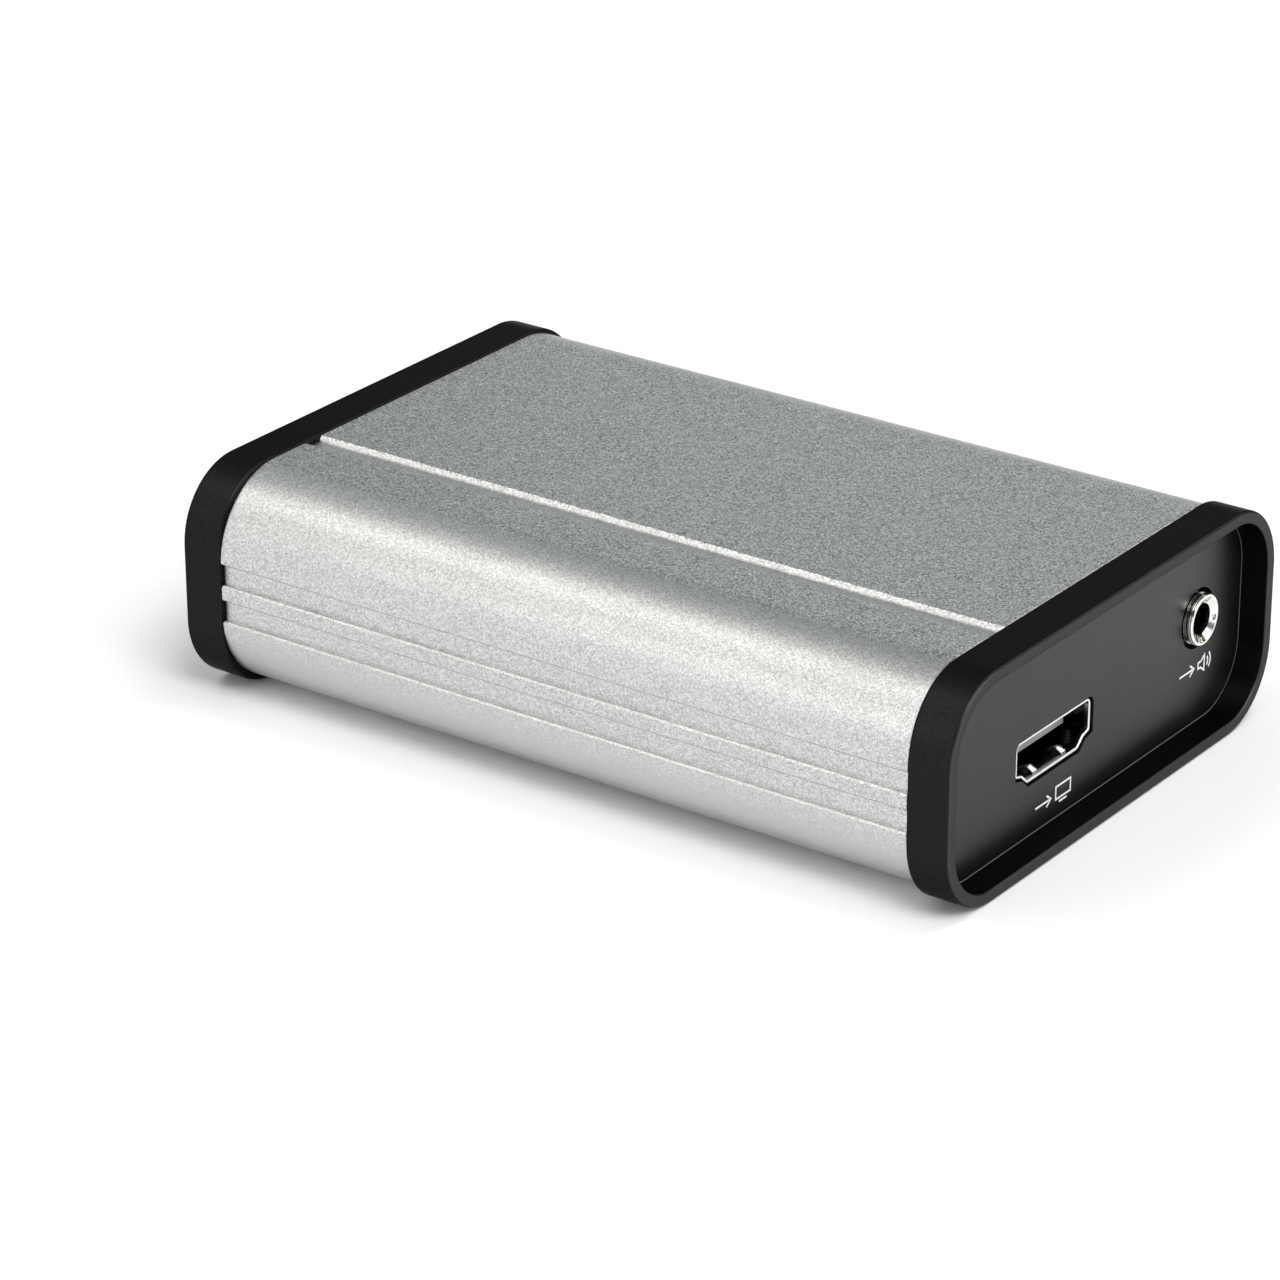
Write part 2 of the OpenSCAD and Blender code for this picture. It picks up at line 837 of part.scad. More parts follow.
module firmware_chip() {
    y = data_y + bridge_size.y / 2 + part_gap + firmware_size.y / 2;
    color([0.1, 0.1, 0.1]) chip(-bridge_x, y, firmware_size);
}

module clock_crystals() {
    color([0.8, 0.8, 0.78]) {
        chip(-bridge_x, data_y - bridge_size.y / 2 - part_gap, crystal_size);
        chip(receiver_x, video_y + receiver_size.y / 2 + part_gap, crystal_size);
    }
}

module power_inductors() {
    y = -rail_tip + edge_gap + inductor_size.y / 2;
    color([0.3, 0.3, 0.31]) for (i = [0, 1])
        chip(-bridge_x + i * (inductor_size.x + part_gap), y, inductor_size);
}

module bulk_capacitors() {
    color([0.75, 0.75, 0.76]) for (i = [0 : capacitor_count - 1])
        translate([i * capacitor_pitch - capacitor_x, capacitor_y, board_z]) {
            linear_extrude(capacitor_base_h) square(capacitor_base_w, center = true);
            cylinder(r = capacitor_r, h = capacitor_h);
        }
}

// Rows of chip capacitors beside the capture processor
module chip_capacitors() {
    row = processor_w / 2 + chip_cap_pitch;
    color([0.7, 0.6, 0.5]) for (side = [-1, 1], i = [0 : chip_cap_count - 1])
        translate([side * row, row_y(i, chip_cap_count, chip_cap_pitch), board_z + chip_cap_size.z / 2])
            cube(chip_cap_size, center = true);
}

module status_led() {
    back = panel_x - light_l - led_air;
    color([0.9, 0.9, 0.85]) at_output_end() box(
        [back - led_l, light_y - led_w / 2, board_z],
        [back, light_y + led_w / 2, light_z + light_r]
    );
}

module light_pipe() {
    color([0.85, 0.88, 0.9]) {
        at_light(panel_x - light_l) cylinder(r = light_r, h = light_l);
        at_light(panel_back_x - light_flange_t) cylinder(r = light_flange_r, h = light_flange_t);
    }
}

sleeve();
input_bezel();
output_bezel();
input_panel();
output_panel();
main_board();
video_socket_shell();
video_socket_insulator();
video_socket_contacts();
video_socket_springs();
audio_jack_barrel();
audio_jack_housing();
audio_jack_contacts();
data_socket_shell();
data_socket_insulator();
data_socket_contacts();
capture_processor();
thermal_pad();
heat_sink();
video_receiver();
data_bridge();
memory_chips();
audio_converter();
firmware_chip();
clock_crystals();
power_inductors();
bulk_capacitors();
chip_capacitors();
status_led();
light_pipe();
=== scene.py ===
"""Looks, light and camera of a video capture box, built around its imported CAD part.

Sizes are in millimetres in the classes and become metres when a mesh is made. X runs along the
sleeve with the input sockets at +X, Y runs across the case, and the bezels stand on Z = 0.
"""

from __future__ import annotations

import json
import logging
import math
from dataclasses import dataclass, field
from enum import Enum

import bmesh
import bpy
import numpy as np
from mathutils import Matrix, Vector

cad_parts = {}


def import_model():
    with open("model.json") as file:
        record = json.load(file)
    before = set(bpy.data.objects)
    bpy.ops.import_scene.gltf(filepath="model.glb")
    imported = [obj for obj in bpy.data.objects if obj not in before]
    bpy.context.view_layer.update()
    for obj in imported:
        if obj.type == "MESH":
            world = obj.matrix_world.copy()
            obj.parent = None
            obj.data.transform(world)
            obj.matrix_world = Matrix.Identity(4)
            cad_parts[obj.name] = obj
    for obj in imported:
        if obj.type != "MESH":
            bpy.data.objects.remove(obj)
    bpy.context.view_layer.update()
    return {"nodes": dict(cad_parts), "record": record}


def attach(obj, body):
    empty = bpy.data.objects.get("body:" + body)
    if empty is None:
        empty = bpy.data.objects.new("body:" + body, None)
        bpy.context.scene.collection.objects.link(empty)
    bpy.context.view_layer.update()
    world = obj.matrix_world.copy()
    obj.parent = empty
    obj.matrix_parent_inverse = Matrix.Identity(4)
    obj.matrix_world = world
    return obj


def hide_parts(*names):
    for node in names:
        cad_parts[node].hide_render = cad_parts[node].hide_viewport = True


LOG = logging.getLogger("capture_box")
MM = 0.001
BODY = "root"
Array = np.ndarray
Socket = bpy.types.NodeSocket
Colour = tuple[float, float, float]
TINY = 1e-12
SAME_POINT = 1e-6
RIM_DIGITS = 6

# Sizes that several pieces share
CASE_WIDTH = 65.0
CASE_HEIGHT = 25.9
CASE_RADIUS = 8.55
CORNER_STEPS = 28
SLEEVE_END = 44.35
PANEL_FACE = 46.25
VIDEO_Y = -7.2
SOCKET_FLOOR = 8.0


class End(Enum):
    """The two ends of the case, with the sign of their X."""

    INPUT = 1
    OUTPUT = -1


class Slot(Enum):
    """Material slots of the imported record."""

    SLEEVE = "anodised_aluminium"
    BEZEL = "bezel_black"
    PANEL = "panel_black"
    BOARD = "circuit_board"
    SHELL = "socket_steel"
    INSULATOR = "insulator_black"
    TONGUE = "insulator_pale"
    CONTACT = "contact_gold"
    BARREL = "barrel_nickel"
    CHIP = "chip_black"
    PAD = "pad_grey"
    SINK = "sink_black"
    CAN = "can_metal"
    FERRITE = "ferrite_grey"
    CERAMIC = "capacitor_ceramic"
    LED = "led_white"
    LIGHT = "light_clear"


# Outlines and surfaces


def unit(vectors: Array) -> Array:
    """Scales each row to length one, and leaves a row of zeros alone.

    Args:
        vectors: rows of vectors.

    Returns:
        The rows at unit length.
    """
    length = np.linalg.norm(vectors, axis=-1, keepdims=True)
    return vectors / np.where(length < TINY, 1.0, length)


def fillet(points: Array, radii: Array, steps: int = 6) -> Array:
    """Rounds the corners of a closed outline.

    The arc of a corner has its centre on the bisector, at radius / sin(half the corner's angle),
    and touches both edges at radius / tan(half). A radius of zero keeps the corner.

    Args:
        points: corners of the outline, counter-clockwise.
        radii: one radius for each corner.
        steps: segments of each arc.

    Returns:
        The points of the rounded outline.
    """
    back = unit(np.roll(points, 1, axis=0) - points)
    ahead = unit(np.roll(points, -1, axis=0) - points)
    half = np.arccos(np.clip(np.sum(back * ahead, axis=1), -1.0, 1.0)) / 2
    centre = points + unit(back + ahead) * (radii / np.sin(half))[:, None]
    reach = (radii / np.tan(half))[:, None]
    start = points + back * reach - centre
    finish = points + ahead * reach - centre
    first = np.arctan2(start[:, 1], start[:, 0])
    sweep = np.arctan2(finish[:, 1], finish[:, 0]) - first
    sweep = (sweep + np.pi) % (2 * np.pi) - np.pi
    angle = first[:, None] + sweep[:, None] * np.linspace(0.0, 1.0, steps + 1)
    arcs = centre[:, None] + radii[:, None, None] * np.stack((np.cos(angle), np.sin(angle)), axis=-1)
    loop = arcs.reshape(-1, 2)
    step = np.linalg.norm(loop - np.roll(loop, 1, axis=0), axis=1)
    return loop[step > SAME_POINT]


def arc(centre: tuple[float, float], radius: float, first: float, last: float, steps: int) -> Array:
    """Points of a circular arc.

    Args:
        centre: centre of the circle.
        radius: radius of the circle.
        first: angle of the first point, in degrees.
        last: angle of the last point, in degrees.
        steps: number of segments.

    Returns:
        The points, both ends included.
    """
    angle = np.radians(np.linspace(first, last, steps + 1))
    return np.array(centre) + radius * np.stack((np.cos(angle), np.sin(angle)), axis=1)


def rounded_rectangle(width: float, low: float, high: float, radius: float, steps: int = 20) -> Array:
    """A rounded rectangle in Y and Z, centred on Y = 0.

    Args:
        width: full width in Y.
        low: lowest Z.
        high: highest Z.
        radius: corner radius.
        steps: segments of each corner.

    Returns:
        The outline, counter-clockwise.
    """
    side = width / 2
    corners = np.array([[side, low], [side, high], [-side, high], [-side, low]])
    return fillet(corners, np.full(4, radius), steps)


def mitres(line: Array, closed: bool = True) -> Array:
    """Vectors that move each point of a line when its edges move to their right by one unit.

    With m and k the normals of the two edges at a point, the vector is (m + k) / (1 + m . k). An end
    of an open line has one edge, which counts as both.

    Args:
        line: the points; a closed line runs counter-clockwise, so that its normals point outwards.
        closed: whether the last point joins the first.

    Returns:
        One vector for each point.
    """
    ahead = np.roll(line, -1, axis=0) if closed else line[1:]
    edge = unit(ahead - line[:len(ahead)])
    normal = np.stack((edge[:, 1], -edge[:, 0]), axis=1)
    if closed:
        before, after = np.roll(normal, 1, axis=0), normal
    else:
        before, after = np.concatenate((normal[:1], normal)), np.concatenate((normal, normal[-1:]))
    return (before + after) / (1 + np.sum(before * after, axis=1, keepdims=True))


@dataclass
class Surface:
    """Vertices in millimetres and the faces that join them."""

    vertices: Array
    faces: Array

    def at_end(self, end: End) -> Surface:
        """Returns the surface at an end: as drawn for the inputs, or mirrored in X with its faces turned."""
        if end is End.INPUT:
            return self
        return Surface(self.vertices * np.array([-1.0, 1.0, 1.0]), self.faces[:, ::-1])


def join(parts: list[Surface]) -> Surface:
    """Puts surfaces of four-sided faces into one.

    Args:
        parts: the surfaces.

    Returns:
        One surface with all their vertices and faces.
    """
    starts = np.cumsum([0] + [len(part.vertices) for part in parts[:-1]])
    faces = [part.faces + start for part, start in zip(parts, starts)]
    return Surface(np.concatenate([part.vertices for part in parts]), np.concatenate(faces))


def grid_faces(rows: int, columns: int, close_rows: bool) -> Array:
    """Four-sided faces of a grid whose columns close into rings.

    Args:
        rows: number of rows.
        columns: number of columns.
        close_rows: whether the last row joins the first.

    Returns:
        The corner indices of each face.
    """
    lines = np.arange(rows if close_rows else rows - 1)
    row, column = np.meshgrid(lines, np.arange(columns), indexing="ij")
    below = (row + 1) % rows
    right = (column + 1) % columns
    corners = [(row, column), (row, right), (below, right), (below, column)]
    return np.stack([(line * columns + place).ravel() for line, place in corners], axis=1)


def carry_section(outline: Array, section: Array, close: bool) -> Surface:
    """Carries a section round an outline that lies in Y and Z.

    The point of section row (d, x) at an outline point p is p + d * mitre(p) at height x along X.

    Args:
        outline: a counter-clockwise outline in Y and Z.
        section: rows of outward distance and X.
        close: whether the section's last point joins its first.

    Returns:
        The swept surface.
    """
    ring = outline[None] + section[:, 0, None, None] * mitres(outline)[None]
    along = np.broadcast_to(section[:, 1, None, None], ring.shape[:2] + (1,))
    vertices = np.concatenate((along, ring), axis=2).reshape(-1, 3)
    return Surface(vertices, grid_faces(len(section), len(outline), close))


def ribbon(points: Array, width: float, low: float, high: float, closed: bool) -> Surface:
    """A flat ribbon along a line in Y and Z, from low to high along X.

    At each point the two edges lie at p + m * width / 2 and p - m * width / 2, where m is the mitre
    of the line's normals there.

    Args:
        points: points of the line.
        width: width of the ribbon.
        low: X of its back.
        high: X of its front.
        closed: whether the line's last point joins its first.

    Returns:
        The ribbon's surface.
    """
    across = np.array([-1.0, -1.0, 1.0, 1.0])[None, :, None] * width / 2
    ring = points[:, None] + across * mitres(points, closed)[:, None]
    along = np.broadcast_to(np.array([low, high, high, low])[None, :, None], ring.shape[:2] + (1,))
    vertices = np.concatenate((along, ring), axis=2).reshape(-1, 3)
    faces = grid_faces(len(points), 4, closed)
    if not closed:
        ends = np.array([[3, 2, 1, 0], [0, 1, 2, 3]]) + np.array([[0], [4 * (len(points) - 1)]])
        faces = np.concatenate((faces, ends))
    return Surface(vertices, faces)


def block(low: Array, high: Array) -> Surface:
    """A box between two corners.

    Args:
        low: its lowest corner.
        high: its highest corner.

    Returns:
        The box's surface.
    """
    base = np.array([[0, 0, 0], [0, 1, 0], [0, 1, 1], [0, 0, 1]])
    corner = np.concatenate((base, base + np.array([1, 0, 0])))
    faces = np.array([
        [3, 2, 1, 0], [4, 5, 6, 7], [0, 1, 5, 4], [1, 2, 6, 5], [2, 3, 7, 6], [3, 0, 4, 7],
    ])
    return Surface(low + corner * (high - low), faces)


@dataclass
class Skin:
    """How a surface becomes a finished piece of the object."""

    name: str
    slot: Slot
    replaces: tuple[str, ...] = ()
    finish: Finish | None = None
    sharp_angle: float = 40.0
    open_axis: int | None = None


def cap_open_ends(mesh: bpy.types.Mesh, axis: int) -> None:
    """Closes the flat open ends of a mesh, each with all of the loops that lie in its plane.

    Args:
        mesh: the mesh, with its open ends square to one axis.
        axis: the number of that axis.
    """
    work = bmesh.new()
    work.from_mesh(mesh)
    rims: dict[float, list[bmesh.types.BMEdge]] = {}
    for edge in work.edges:
        if edge.is_boundary:
            rims.setdefault(round(edge.verts[0].co[axis], RIM_DIGITS), []).append(edge)
    for rim in rims.values():
        bmesh.ops.triangle_fill(work, edges=rim, use_beauty=True)
    bmesh.ops.recalc_face_normals(work, faces=work.faces)
    work.to_mesh(mesh)
    work.free()


def make_piece(surface: Surface, skin: Skin, finishes: FinishBook) -> bpy.types.Object:
    """Makes a piece of the object, dresses it and sets it on the case's body.

    Args:
        surface: the piece's surface, in millimetres.
        skin: its name, slot and treatment.
        finishes: the book that holds the materials.

    Returns:
        The new object, which sits at the origin.
    """
    mesh = bpy.data.meshes.new(skin.name)
    mesh.from_pydata((surface.vertices * MM).tolist(), [], surface.faces.tolist())
    if skin.open_axis is not None:
        cap_open_ends(mesh, skin.open_axis)
    mesh.polygons.foreach_set("use_smooth", np.ones(len(mesh.polygons), dtype=bool))
    mesh.set_sharp_from_angle(angle=math.radians(skin.sharp_angle))
    mesh.validate()
    piece = bpy.data.objects.new(skin.name, mesh)
    bpy.context.scene.collection.objects.link(piece)
    weighted = piece.modifiers.new("weighted_normals", "WEIGHTED_NORMAL")
    weighted.keep_sharp = True
    if skin.finish is None:
        mesh.materials.append(finishes.material(skin.slot))
    else:
        mesh.materials.append(finishes.dressed(skin.name, skin.finish))
    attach(piece, BODY)
    if skin.replaces:
        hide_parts(*skin.replaces)
    LOG.info("piece %s: %d vertices, %d faces", skin.name, len(mesh.vertices), len(mesh.polygons))
    return piece


# Finishes


@dataclass(frozen=True)
class PaintedFrontLight:
    """Painted light near the ends of the case, between two distances from the middle along X: a painted
    sheen on the bezels' front rims, or a socket front's own colour with painted shade behind it.
    """

    colour: Colour
    start: float
    full: float


@dataclass(frozen=True)
class Finish:
    """One finish: colour range, gloss, grain, fine scratches, painted light of the fronts (painted sheen or
    painted shade) and relief.
    """

    dark: Colour
    light: Colour
    metallic: float = 0.0
    rough: tuple[float, float] = (0.4, 0.5)
    grain_scale: float = 4000.0
    cell_share: float = 0.3
    calm: float = 0.0
    smudge_scale: float = 90.0
    relief: float = 0.2
    relief_depth: float = 0.00003
    scratches: float = 0.0
    # painted light: a painted sheen on a front rim, or painted shade behind a socket's bright front
    front: PaintedFrontLight | None = None
    specular: float = 0.5
    grazing: float = 1.0
    transmission: float = 0.0


def grey(level: float, blue: float | None = None) -> Colour:
    """A grey, whose blue can differ a little.

    Args:
        level: red and green, and blue too unless it is given.
        blue: blue.

    Returns:
        The colour.
    """
    return (level, level, level if blue is None else blue)


FINISHES: dict[Slot, Finish] = {
    Slot.SLEEVE: Finish(
        dark=(0.13, 0.131, 0.13), light=(0.99, 0.996, 0.988), metallic=1.0, rough=(0.31, 0.35),
        grain_scale=7800.0, cell_share=0.95, calm=0.56, relief=0.4, scratches=0.3,
    ),
    Slot.BEZEL: Finish(
        dark=grey(0.014, 0.0142), light=grey(0.023, 0.0235), metallic=1.0, rough=(0.36, 0.42),
        grain_scale=5200.0, relief_depth=0.00004, grazing=0.52,
        # painted sheen: the front rim is lighter than the rest of the bezel
        front=PaintedFrontLight(grey(0.066), 0.04925, 0.0494),
    ),
    Slot.PANEL: Finish(
        dark=grey(0.0025, 0.0026), light=grey(0.0055, 0.0057), rough=(0.28, 0.34), grain_scale=6000.0,
        relief=0.3, specular=0.37,
    ),
    Slot.BOARD: Finish(
        dark=(0.008, 0.07, 0.03), light=(0.02, 0.13, 0.06), rough=(0.3, 0.4), grain_scale=900.0,
    ),
    # painted shade: the shell is dark everywhere but its front rim, so the inside of the mouth looks shaded
    Slot.SHELL: Finish(
        dark=grey(0.05, 0.048), light=grey(0.08, 0.077), metallic=1.0, rough=(0.16, 0.24),
        grain_scale=7000.0, relief=0.05, smudge_scale=400.0,
        front=PaintedFrontLight((0.92, 0.91, 0.88), 0.0454, 0.04575),
    ),
    Slot.INSULATOR: Finish(dark=grey(0.012), light=grey(0.022), rough=(0.4, 0.55)),
    # painted shade: the pale tongue is dark behind its front face, where the inside of the socket is shaded
    Slot.TONGUE: Finish(
        dark=grey(0.01), light=grey(0.016), rough=(0.4, 0.55), relief=0.1,
        front=PaintedFrontLight(grey(0.3, 0.31), 0.0428, 0.0434),
    ),
    Slot.CONTACT: Finish(
        dark=(0.72, 0.5, 0.18), light=(0.88, 0.66, 0.3), metallic=1.0, rough=(0.18, 0.3),
        grain_scale=6000.0,
    ),
    # painted shade: the barrel is dark behind its front ring, so that the bore looks shaded
    Slot.BARREL: Finish(
        dark=grey(0.05, 0.048), light=grey(0.08, 0.076), metallic=1.0, rough=(0.14, 0.22),
        grain_scale=7000.0, relief=0.04, smudge_scale=500.0,
        front=PaintedFrontLight((0.93, 0.91, 0.87), 0.0461, 0.0463),
    ),
    Slot.CHIP: Finish(dark=grey(0.012, 0.013), light=grey(0.028, 0.03), rough=(0.5, 0.65)),
    Slot.PAD: Finish(dark=(0.28, 0.33, 0.43), light=(0.38, 0.43, 0.53), rough=(0.7, 0.85), relief=0.3),
    Slot.SINK: Finish(dark=grey(0.03, 0.032), light=grey(0.06, 0.064), metallic=0.6),
    Slot.CAN: Finish(dark=grey(0.55), light=grey(0.75), metallic=1.0, rough=(0.25, 0.38)),
    Slot.FERRITE: Finish(dark=grey(0.07, 0.073), light=grey(0.12, 0.125), rough=(0.6, 0.75), relief=0.35),
    Slot.CERAMIC: Finish(dark=(0.36, 0.25, 0.15), light=(0.5, 0.37, 0.24), rough=(0.35, 0.5)),
    Slot.LED: Finish(dark=(0.7, 0.7, 0.6), light=(0.86, 0.86, 0.78), rough=(0.2, 0.3), relief=0.05),
    Slot.LIGHT: Finish(
        dark=(0.82, 0.86, 0.88), light=(0.92, 0.94, 0.95), rough=(0.12, 0.2), relief=0.05,
        transmission=0.7,
    ),
}
PRINT = Finish(
    dark=grey(0.74), light=grey(0.88), rough=(0.5, 0.6), grain_scale=9000.0, relief=0.1, specular=0.3,
)
LEAF = Finish(
    dark=(0.84, 0.83, 0.8), light=(0.95, 0.94, 0.91), metallic=1.0, rough=(0.24, 0.3),
    grain_scale=7000.0, relief=0.05,
)
# painted highlight: the pale colour of the strip round each panel's border
PAINTED_EDGE_HIGHLIGHT = Finish(
    dark=grey(0.11), light=grey(0.17), rough=(0.5, 0.6), grain_scale=9000.0, relief=0.05, specular=0.3,
)

# Values of the shader groups, in metres where they are places on the case
SHARE = (0.0, 1.0)
FALLING = (1.0, 0.0)
NOISE_RANGE = (0.3, 0.7)
GRAIN_DETAIL = 2.0
SMUDGE_DETAIL = 3.0
TOP_BAND = (0.02552, 0.02566)
FOOT_BAND = (0.005, 0.011)
FOOT_CALM = (0.75, 0.0)
MIDDLE_TONE = 0.5
SCRATCH_COLOUR: Colour = (0.95, 0.95, 0.94)
SCRATCH_STRETCH = (2600.0, 24.0, 24.0)
SCRATCH_LINES = (0.64, 0.76)
SCRATCH_DETAIL = 1.0
PATCH_SCALE = 45.0
PATCH_DETAIL = 2.0
PATCH_RANGE = (0.45, 0.58)
SCRATCH_X = (-0.004, 0.03)
SCRATCH_Z = (0.0254, 0.0256)


class Graph:
    """Adds and joins the nodes of one shader tree."""

    def __init__(self, tree: bpy.types.NodeTree) -> None:
        """Keeps the tree that the nodes go into."""
        self.tree = tree

    def feed(self, target: Socket, value: Socket | float | tuple) -> None:
        """Links a socket to the one that feeds it, or sets its constant value."""
        if isinstance(value, Socket):
            self.tree.links.new(value, target)
        else:
            target.default_value = value

    def add(self, kind: str, inputs: dict, **settings: object) -> bpy.types.NodeOutputs:
        """Adds a node.

        Args:
            kind: the node's type name.
            inputs: what feeds its inputs, by their name or number.
            settings: properties of the node and their values.

        Returns:
            The node's outputs.
        """
        node = self.tree.nodes.new(kind)
        for name, value in settings.items():
            setattr(node, name, value)
        for name, value in inputs.items():
            self.feed(node.inputs[name], value)
        return node.outputs

    def mapped(self, source: Socket, before: tuple[float, float], after: tuple[float, float]) -> Socket:
        """Maps a value from one range to another, held inside the second.

        Args:
            source: the value.
            before: its range.
            after: the range that it is mapped to.

        Returns:
            The mapped value's socket.
        """
        limits = zip(("From Min", "From Max", "To Min", "To Max"), before + after)
        return self.add("ShaderNodeMapRange", {"Value": source, **dict(limits)})["Result"]

    def calculated(self, operation: str, *values: Socket) -> Socket:
        """Returns the socket of a calculation on one or two values."""
        return self.add("ShaderNodeMath", dict(enumerate(values)), operation=operation)["Value"]

    def mixed(
        self, kind: str, factor: Socket, first: Socket | tuple, second: Socket | float | tuple
    ) -> Socket:
        """Mixes two numbers or colours.

        Args:
            kind: the data type of the mix.
            factor: the share of the second.
            first: the first number or colour.
            second: the second number or colour.

        Returns:
            The mixture's socket.
        """
        inputs = {"Factor": factor, "A": first, "B": second}
        return self.add("ShaderNodeMix", inputs, data_type=kind)["Result"]

    def noise(self, place: Socket, scale: Socket | float, detail: float) -> Socket:
        """Returns the socket of a smooth noise."""
        return self.add("ShaderNodeTexNoise", {"Vector": place, "Scale": scale, "Detail": detail})["Fac"]


@dataclass
class FinishBook:
    """Builds the shader groups once, and each finish's material when a piece first asks for it."""

    made: dict[str, bpy.types.Material] = field(default_factory=dict)

    def __post_init__(self) -> None:
        """Builds the groups that the materials share."""
        self.grain = self._grain_group()
        self.smudge = self._smudge_group()
        self.scratch = self._scratch_group()
        self.front = self._painted_front_light_group()

    @staticmethod
    def _group(
        name: str, inputs: tuple[str, ...], outputs: tuple[str, ...]
    ) -> tuple[Graph, bpy.types.NodeOutputs, bpy.types.NodeInputs]:
        """Makes a shader group that takes coordinates and numbers and gives numbers.

        Args:
            name: the group's name.
            inputs: names of the numbers that it takes beside Vector.
            outputs: names of the numbers that it gives.

        Returns:
            A graph on the group, the sockets that its inputs come from and those that its outputs go to.
        """
        tree = bpy.data.node_groups.new(name, "ShaderNodeTree")
        tree.interface.new_socket("Vector", in_out="INPUT", socket_type="NodeSocketVector")
        for label in inputs:
            tree.interface.new_socket(label, in_out="INPUT", socket_type="NodeSocketFloat")
        for label in outputs:
            tree.interface.new_socket(label, in_out="OUTPUT", socket_type="NodeSocketFloat")
        graph = Graph(tree)
        inside = tree.nodes.new("NodeGroupInput")
        outside = tree.nodes.new("NodeGroupOutput")
        return graph, inside.outputs, outside.inputs

    def _grain_group(self) -> bpy.types.NodeTree:
        """Fine grain: a share of cells, each of its own tone, in a smooth noise of the same size.

        Calm draws the tones to their middle below the top of the case, and most of all near the table.

        Returns:
            The group, with the outputs Mask and Height.
        """
        numbers = ("Scale", "Cell Share", "Calm")
        graph, given, result = self._group("surface_grain", numbers, ("Mask", "Height"))
        place, scale = given["Vector"], given["Scale"]
        cells = graph.add("ShaderNodeTexVoronoi", {"Vector": place, "Scale": scale})
        tone = graph.add("ShaderNodeSeparateColor", {"Color": cells["Color"]})["Red"]
        soft = graph.mapped(graph.noise(place, scale, GRAIN_DETAIL), NOISE_RANGE, SHARE)
        grain = graph.mixed("FLOAT", given["Cell Share"], soft, tone)
        height = graph.add("ShaderNodeSeparateXYZ", {"Vector": place})["Z"]
        below_top = graph.mapped(height, TOP_BAND, FALLING)
        near_table = graph.mapped(height, FOOT_BAND, FOOT_CALM)
        calm = graph.calculated("MULTIPLY", given["Calm"], graph.calculated("ADD", below_top, near_table))
        graph.feed(result["Mask"], graph.mixed("FLOAT", calm, grain, MIDDLE_TONE))
        graph.feed(result["Height"], soft)
        return graph.tree

    def _smudge_group(self) -> bpy.types.NodeTree:
        """Broad soft patches that make the gloss uneven.

        Returns:
            The group, with the output Mask.
        """
        graph, given, result = self._group("surface_smudge", ("Scale",), ("Mask",))
        noise = graph.noise(given["Vector"], given["Scale"], SMUDGE_DETAIL)
        graph.feed(result["Mask"], graph.mapped(noise, NOISE_RANGE, SHARE))
        return graph.tree

    def _scratch_group(self) -> bpy.types.NodeTree:
        """Faint straight scratches along Y, in patches of the top towards the input end.

        The lines are a noise that is fine along X and long along Y.

        Returns:
            The group, with the output Mask.
        """
        graph, given, result = self._group("surface_scratch", ("Amount",), ("Mask",))
        place = given["Vector"]
        stretched = graph.add("ShaderNodeMapping", {"Vector": place, "Scale": SCRATCH_STRETCH})["Vector"]
        axes = graph.add("ShaderNodeSeparateXYZ", {"Vector": place})
        mask = given["Amount"]
        for value, band in (
            (graph.noise(stretched, 1.0, SCRATCH_DETAIL), SCRATCH_LINES),
            (graph.noise(place, PATCH_SCALE, PATCH_DETAIL), PATCH_RANGE),
            (axes["X"], SCRATCH_X),
            (axes["Z"], SCRATCH_Z),
        ):
            mask = graph.calculated("MULTIPLY", mask, graph.mapped(value, band, SHARE))
        graph.feed(result["Mask"], mask)
        return graph.tree

    def _painted_front_light_group(self) -> bpy.types.NodeTree:
        """Where the painted light of the fronts goes: the parts of a piece near the ends of the case, by the
        distance from the middle along X.

        Returns:
            The group, with the output Mask.
        """
        graph, given, result = self._group("painted_front_light", ("Start", "Full"), ("Mask",))
        along = graph.add("ShaderNodeSeparateXYZ", {"Vector": given["Vector"]})["X"]
        distance = graph.calculated("ABSOLUTE", along)
        limits = {"Value": distance, "From Min": given["Start"], "From Max": given["Full"]}
        graph.feed(result["Mask"], graph.add("ShaderNodeMapRange", limits)["Result"])
        return graph.tree

    def material(self, slot: Slot) -> bpy.types.Material:
        """Returns the material of a slot."""
        return self.dressed(slot.value, FINISHES[slot])

    def dressed(self, name: str, finish: Finish) -> bpy.types.Material:
        """Returns the material of a finish, made the first time that it is asked for.

        Args:
            name: the material's name.
            finish: its values.

        Returns:
            The material.
        """
        if name not in self.made:
            self.made[name] = self._build(name, finish)
        return self.made[name]

    def _build(self, name: str, finish: Finish) -> bpy.types.Material:
        """Builds one material: grain mixes its colours, patches vary its gloss, grain lifts its surface.

        Scratches, and the painted light of the fronts (painted sheen or painted shade), are laid over the
        grain where the finish has them.

        Args:
            name: the material's name.
            finish: its values.

        Returns:
            The material.
        """
        material = bpy.data.materials.new(f"finish_{name}")
        material.use_nodes = True
        graph = Graph(material.node_tree)
        place = graph.add("ShaderNodeTexCoord", {})["Object"]

        given = {"Scale": finish.grain_scale, "Cell Share": finish.cell_share, "Calm": finish.calm}
        grain = graph.add("ShaderNodeGroup", {"Vector": place, **given}, node_tree=self.grain)
        paint = graph.mixed("RGBA", grain["Mask"], (*finish.dark, 1.0), (*finish.light, 1.0))
        if finish.scratches > 0.0:
            given = {"Vector": place, "Amount": finish.scratches}
            scratch = graph.add("ShaderNodeGroup", given, node_tree=self.scratch)
            paint = graph.mixed("RGBA", scratch["Mask"], paint, (*SCRATCH_COLOUR, 1.0))
